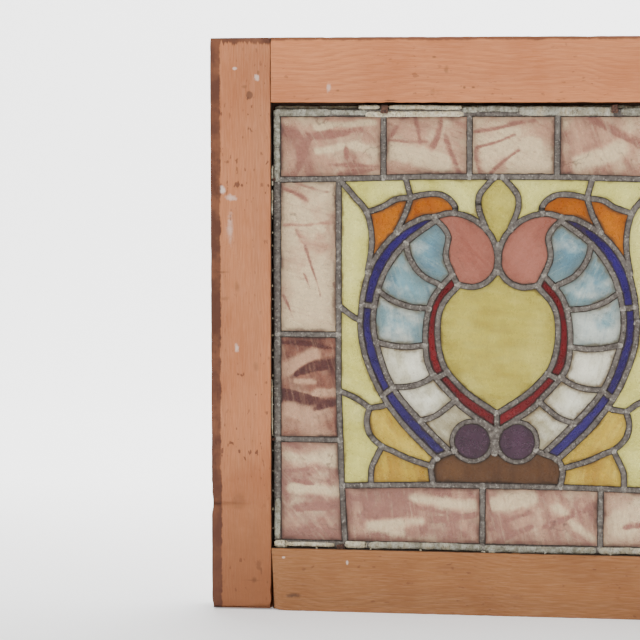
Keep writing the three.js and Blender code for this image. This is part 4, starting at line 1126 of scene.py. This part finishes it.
def nail(name, x, z, wide, high, deep, lean, seed):
    """A nail's head, in millimetres, lumpy with rust, with its front corners knocked round."""
    bm = bmesh.new()
    bmesh.ops.create_cube(bm, size=1.0)
    bmesh.ops.bevel(bm, geom=bm.edges[:], offset=0.13, segments=2, profile=0.5, material=-1, affect="EDGES")
    bmesh.ops.subdivide_edges(bm, edges=bm.edges[:], cuts=2, use_grid_fill=True)
    bmesh.ops.scale(bm, vec=(wide, deep, high), verts=bm.verts)
    for vert in bm.verts:
        vert.co += vert.co.normalized() * 0.45 * noise.noise(vert.co * 0.5 + Vector((seed, 0, 0)))
    bmesh.ops.rotate(bm, cent=(0, 0, 0), matrix=Matrix.Rotation(math.radians(lean), 3, "Y"), verts=bm.verts)
    bmesh.ops.translate(bm, vec=(x, LEAD_FRONT - 0.3 - deep / 2, z), verts=bm.verts)
    bmesh.ops.scale(bm, vec=(MM, MM, MM), verts=bm.verts)
    bmesh.ops.recalc_face_normals(bm, faces=bm.faces)
    head = mesh_object(name, bm, rust)
    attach(head, "root")


nail("nail_top_left", -113.8, 508.6, 7.0, 8.4, 3.6, 4, 1)
nail("nail_top_right", 113.8, 508.8, 6.6, 8.0, 3.6, -5, 2)
nail("nail_bottom_left", -157.5, 65.4, 7.6, 6.2, 3.4, -9, 3)
nail("nail_bottom_right", 157.5, 65.6, 7.0, 6.4, 3.4, 7, 4)
for hand, sign in (("left", -1), ("right", 1)):
    nail(f"brad_upper_{hand}", sign * 225.6, 438, 3.4, 3.0, 2.4, 10 * sign, 5 + sign)
    nail(f"brad_lower_{hand}", sign * 226.2, 175, 3.0, 2.8, 2.4, -8 * sign, 9 + sign)

# ---------------------------------------------------------------- the putty
# Linseed putty once filled the rabbet in a bevel from the lead to the sash's face. Nearly all of it has fallen
# out. What is left is a hard skin over the edge leads, some thin rolls and crumbs, and the bed behind.


def putty_run(bm, start, stop, half, age, proud, seed, lump=0.7, ends=5.0, bow=0.0, floor=None):
    """A lumpy length of putty over a lead, in millimetres. proud is how far it stands out from the floor."""
    start, stop = Vector(start), Vector(stop)
    floor = LEAD_FRONT + 0.35 if floor is None else floor
    length = (stop - start).length
    steps = max(4, round(length / 1.3))
    line = [start.lerp(stop, k / steps) for k in range(steps + 1)]
    across = Vector((-(stop - start).y, (stop - start).x)) / length
    for k, point in enumerate(line):
        point += across * (bow * math.sin(math.pi * k / steps) + 0.5 * ripple(point, 17, seed))

    def section(point, i):
        far = min(i, steps - i) * length / steps
        taper = min(1.0, 0.18 + far / ends)
        wide = half * (0.55 + 0.45 * taper) * (1 + 0.16 * ripple(point, 8, seed + 1))
        rise = proud * taper * (1 + 0.3 * ripple(point, 6, seed + 2))
        points = []
        for k in range(9):
            turn = math.pi * k / 8
            knob = 1 + lump * 0.35 * noise.noise(Vector((point.x / 2.2, k * 1.3, point.y / 2.2 + seed)))
            points.append((-wide * math.cos(turn) * (0.85 + 0.15 * knob),
                           floor - rise * math.sin(turn) ** 0.7 * knob, age + 0.25 * ripple(point, 12, seed + 6)))
        return points
    drawn(bm, line, section, "age")


def crumb(bm, x, z, size, y, seed):
    lumps = bmesh.new()
    age_layer = lumps.verts.layers.float.new("age")
    bmesh.ops.create_icosphere(lumps, subdivisions=2, radius=size / 2)
    for vert in lumps.verts:
        vert.co *= 1 + 0.45 * noise.noise(vert.co * 0.9 + Vector((seed, seed, 0)))
        vert[age_layer] = 0.5 + 0.5 * ripple((x, z), 9, seed)
        vert.co = Vector((vert.co.x + x, vert.co.y * 0.7 + y, vert.co.z * 1.2 + z)) * MM
    gather(bm, lumps)


old_putty, tree, shader = plain_material("old_putty")
place = node(tree, "ShaderNodeTexCoord").outputs["Object"]
age = attribute(tree, "age")["Fac"]
patch = noise_map(tree, place, 240, 5, 0.65)
colour = mix(tree, between(tree, patch, 0.36, 0.66), (0.52, 0.43, 0.27), (0.74, 0.68, 0.52))
grey = mix(tree, between(tree, patch, 0.38, 0.66), (0.20, 0.185, 0.135), (0.42, 0.41, 0.33))
colour = mix(tree, between(tree, sums(tree, "MULTIPLY_ADD", patch, 0.4, age), 0.45, 0.95), colour, grey)
pores = between(tree, noise_map(tree, place, 800, 3, 0.6), 0.56, 0.68)
colour = mix(tree, sums(tree, "MULTIPLY", pores, 0.75), colour, (0.075, 0.048, 0.030))
join(tree, colour, shader.inputs["Base Color"])
shader.inputs["Roughness"].default_value = 0.88
rough = sums(tree, "SUBTRACT", noise_map(tree, place, 700, 4, 0.65), sums(tree, "MULTIPLY", pores, 0.8))
relief(tree, shader, rough, 0.8, 0.0008)

front = bmesh.new()
front.verts.layers.float.new("age")
TOP_Z, BOTTOM_Z, SIDE_X = 505, 68, 222.5
# the top edge: crust, bright skin, yellow fillet above it, and the flange that has sprung up
putty_run(front, (-226, TOP_Z), (-168, TOP_Z + 0.3), 3.6, 0.95, 1.6, 11, 1.6)
putty_run(front, (-168, TOP_Z + 0.6), (-131, TOP_Z), 2.4, 1.05, 0.9, 12, 1.2)
putty_run(front, (-133, 503.4), (-35, 503.6), 2.7, 0.10, 1.5, 13, 0.9)
putty_run(front, (-140, 510.6), (-118.5, 510.8), 2.2, 0.35, 2.6, 14, 1.3)
putty_run(front, (-109.5, 510.6), (-37, 510.2), 2.4, 0.30, 2.8, 15, 1.3, 9)
putty_run(front, (-36, 507.8), (-21, 508.0), 3.4, 0.75, 1.8, 16, 1.0)
putty_run(front, (-21, 508.4), (19.5, 508.0), 3.0, 0.95, 3.0, 17, 0.5, 3, 1.0)
putty_run(front, (20, 506.8), (113, 506.4), 4.6, 0.62, 1.5, 18, 0.9)
putty_run(front, (120, 506.0), (226, 505.4), 3.8, 0.85, 1.4, 19, 1.2)
# the bottom edge: a bone-like roll, then flatter skins
putty_run(front, (-226, 67.6), (-212, 67.4), 3.6, 0.15, 3.4, 21, 0.8, 2.5)
putty_run(front, (-215, 67.5), (-164, 67.3), 2.3, 0.15, 2.4, 22, 0.6, 9)
putty_run(front, (-153, 68.2), (-131, 68.0), 3.5, 0.35, 2.0, 23, 0.9, 2)
putty_run(front, (-129, 68.0), (-14, 67.8), 3.6, 0.62, 1.8, 24, 0.9, 3, 0.5)
putty_run(front, (-12, 67.4), (100, 67.8), 3.5, 0.70, 1.8, 25, 0.9, 3, -0.5)
putty_run(front, (103, 67.8), (152, 68.0), 3.4, 0.55, 1.8, 26, 0.9, 3)
putty_run(front, (163, 67.6), (226, 67.8), 3.2, 0.4, 2.0, 27, 0.9, 4)
# the sides
for sign in (-1, 1):
    putty_run(front, (sign * SIDE_X, 502), (sign * SIDE_X, 470), 3.2, 0.9, 0.9, 31 + sign, 1.2)
    putty_run(front, (sign * 222.3, 470), (sign * 222.6, 436), 2.9, 0.8, 1.1, 34 + sign, 1.2)
    putty_run(front, (sign * 222.3, 114), (sign * 222.6, 73), 3.0, 0.72, 1.2, 37 + sign, 1.0)
    for k in range(26):
        z = 78 + 380 * (k / 26) ** (0.8 if sign < 0 else 1.1) + 9 * ripple((k * 3, sign), 2, 5)
        size = 1.4 + 1.2 * abs(ripple((k, 2), 1.7, 8))
        crumb(front, sign * (227.1 + 0.35 * ripple((k, 4), 1.3, 2)), z, size, -8.2, k)
    putty_run(front, (sign * 227.3, 452), (sign * 227.2, 432), 0.9, 0.1, 2.4, 40 + sign, 1.2, 4)
    putty_run(front, (sign * 227.3, 428), (sign * 227.1, 402), 0.8, 0.4, 2.2, 42 + sign, 1.5, 4)
    putty_run(front, (sign * 227.6, 236), (sign * 227.5, 180), 0.45, 0.0, 3.0, 44 + sign, 0.8, 9)
for k in range(16):
    x = -8 + 15 * ripple((k, 1), 1.9, 3) if k < 9 else -190 + 60 * (k - 9) + 20 * ripple((k, 1), 1.4, 3)
    crumb(front, x, 64.3, 2.0 + 1.2 * ripple((k, 3), 1.6, 4), -12.5 + 2 * ripple((k, 7), 1.1, 6), 60 + k)
front_putty = mesh_object("front_putty_remains", front, old_putty)
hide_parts("putty")
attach(front_putty, "root")

bed = bmesh.new()
bed.verts.layers.float.new("age")
bed_floor = RABBET_FLOOR / MM - 0.3
for seed, (start, stop) in enumerate((((-225, 66.5), (225, 66.5)), ((-225, 508.5), (225, 508.5)),
                                      ((-223.5, 69), (-223.5, 506)), ((223.5, 69), (223.5, 506)))):
    putty_run(bed, start, stop, 3.4, 0.3, 1.35, 50 + seed, 0.6, floor=bed_floor)
bed_putty = mesh_object("bed_putty", bed, old_putty)
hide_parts("putty")
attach(bed_putty, "root")
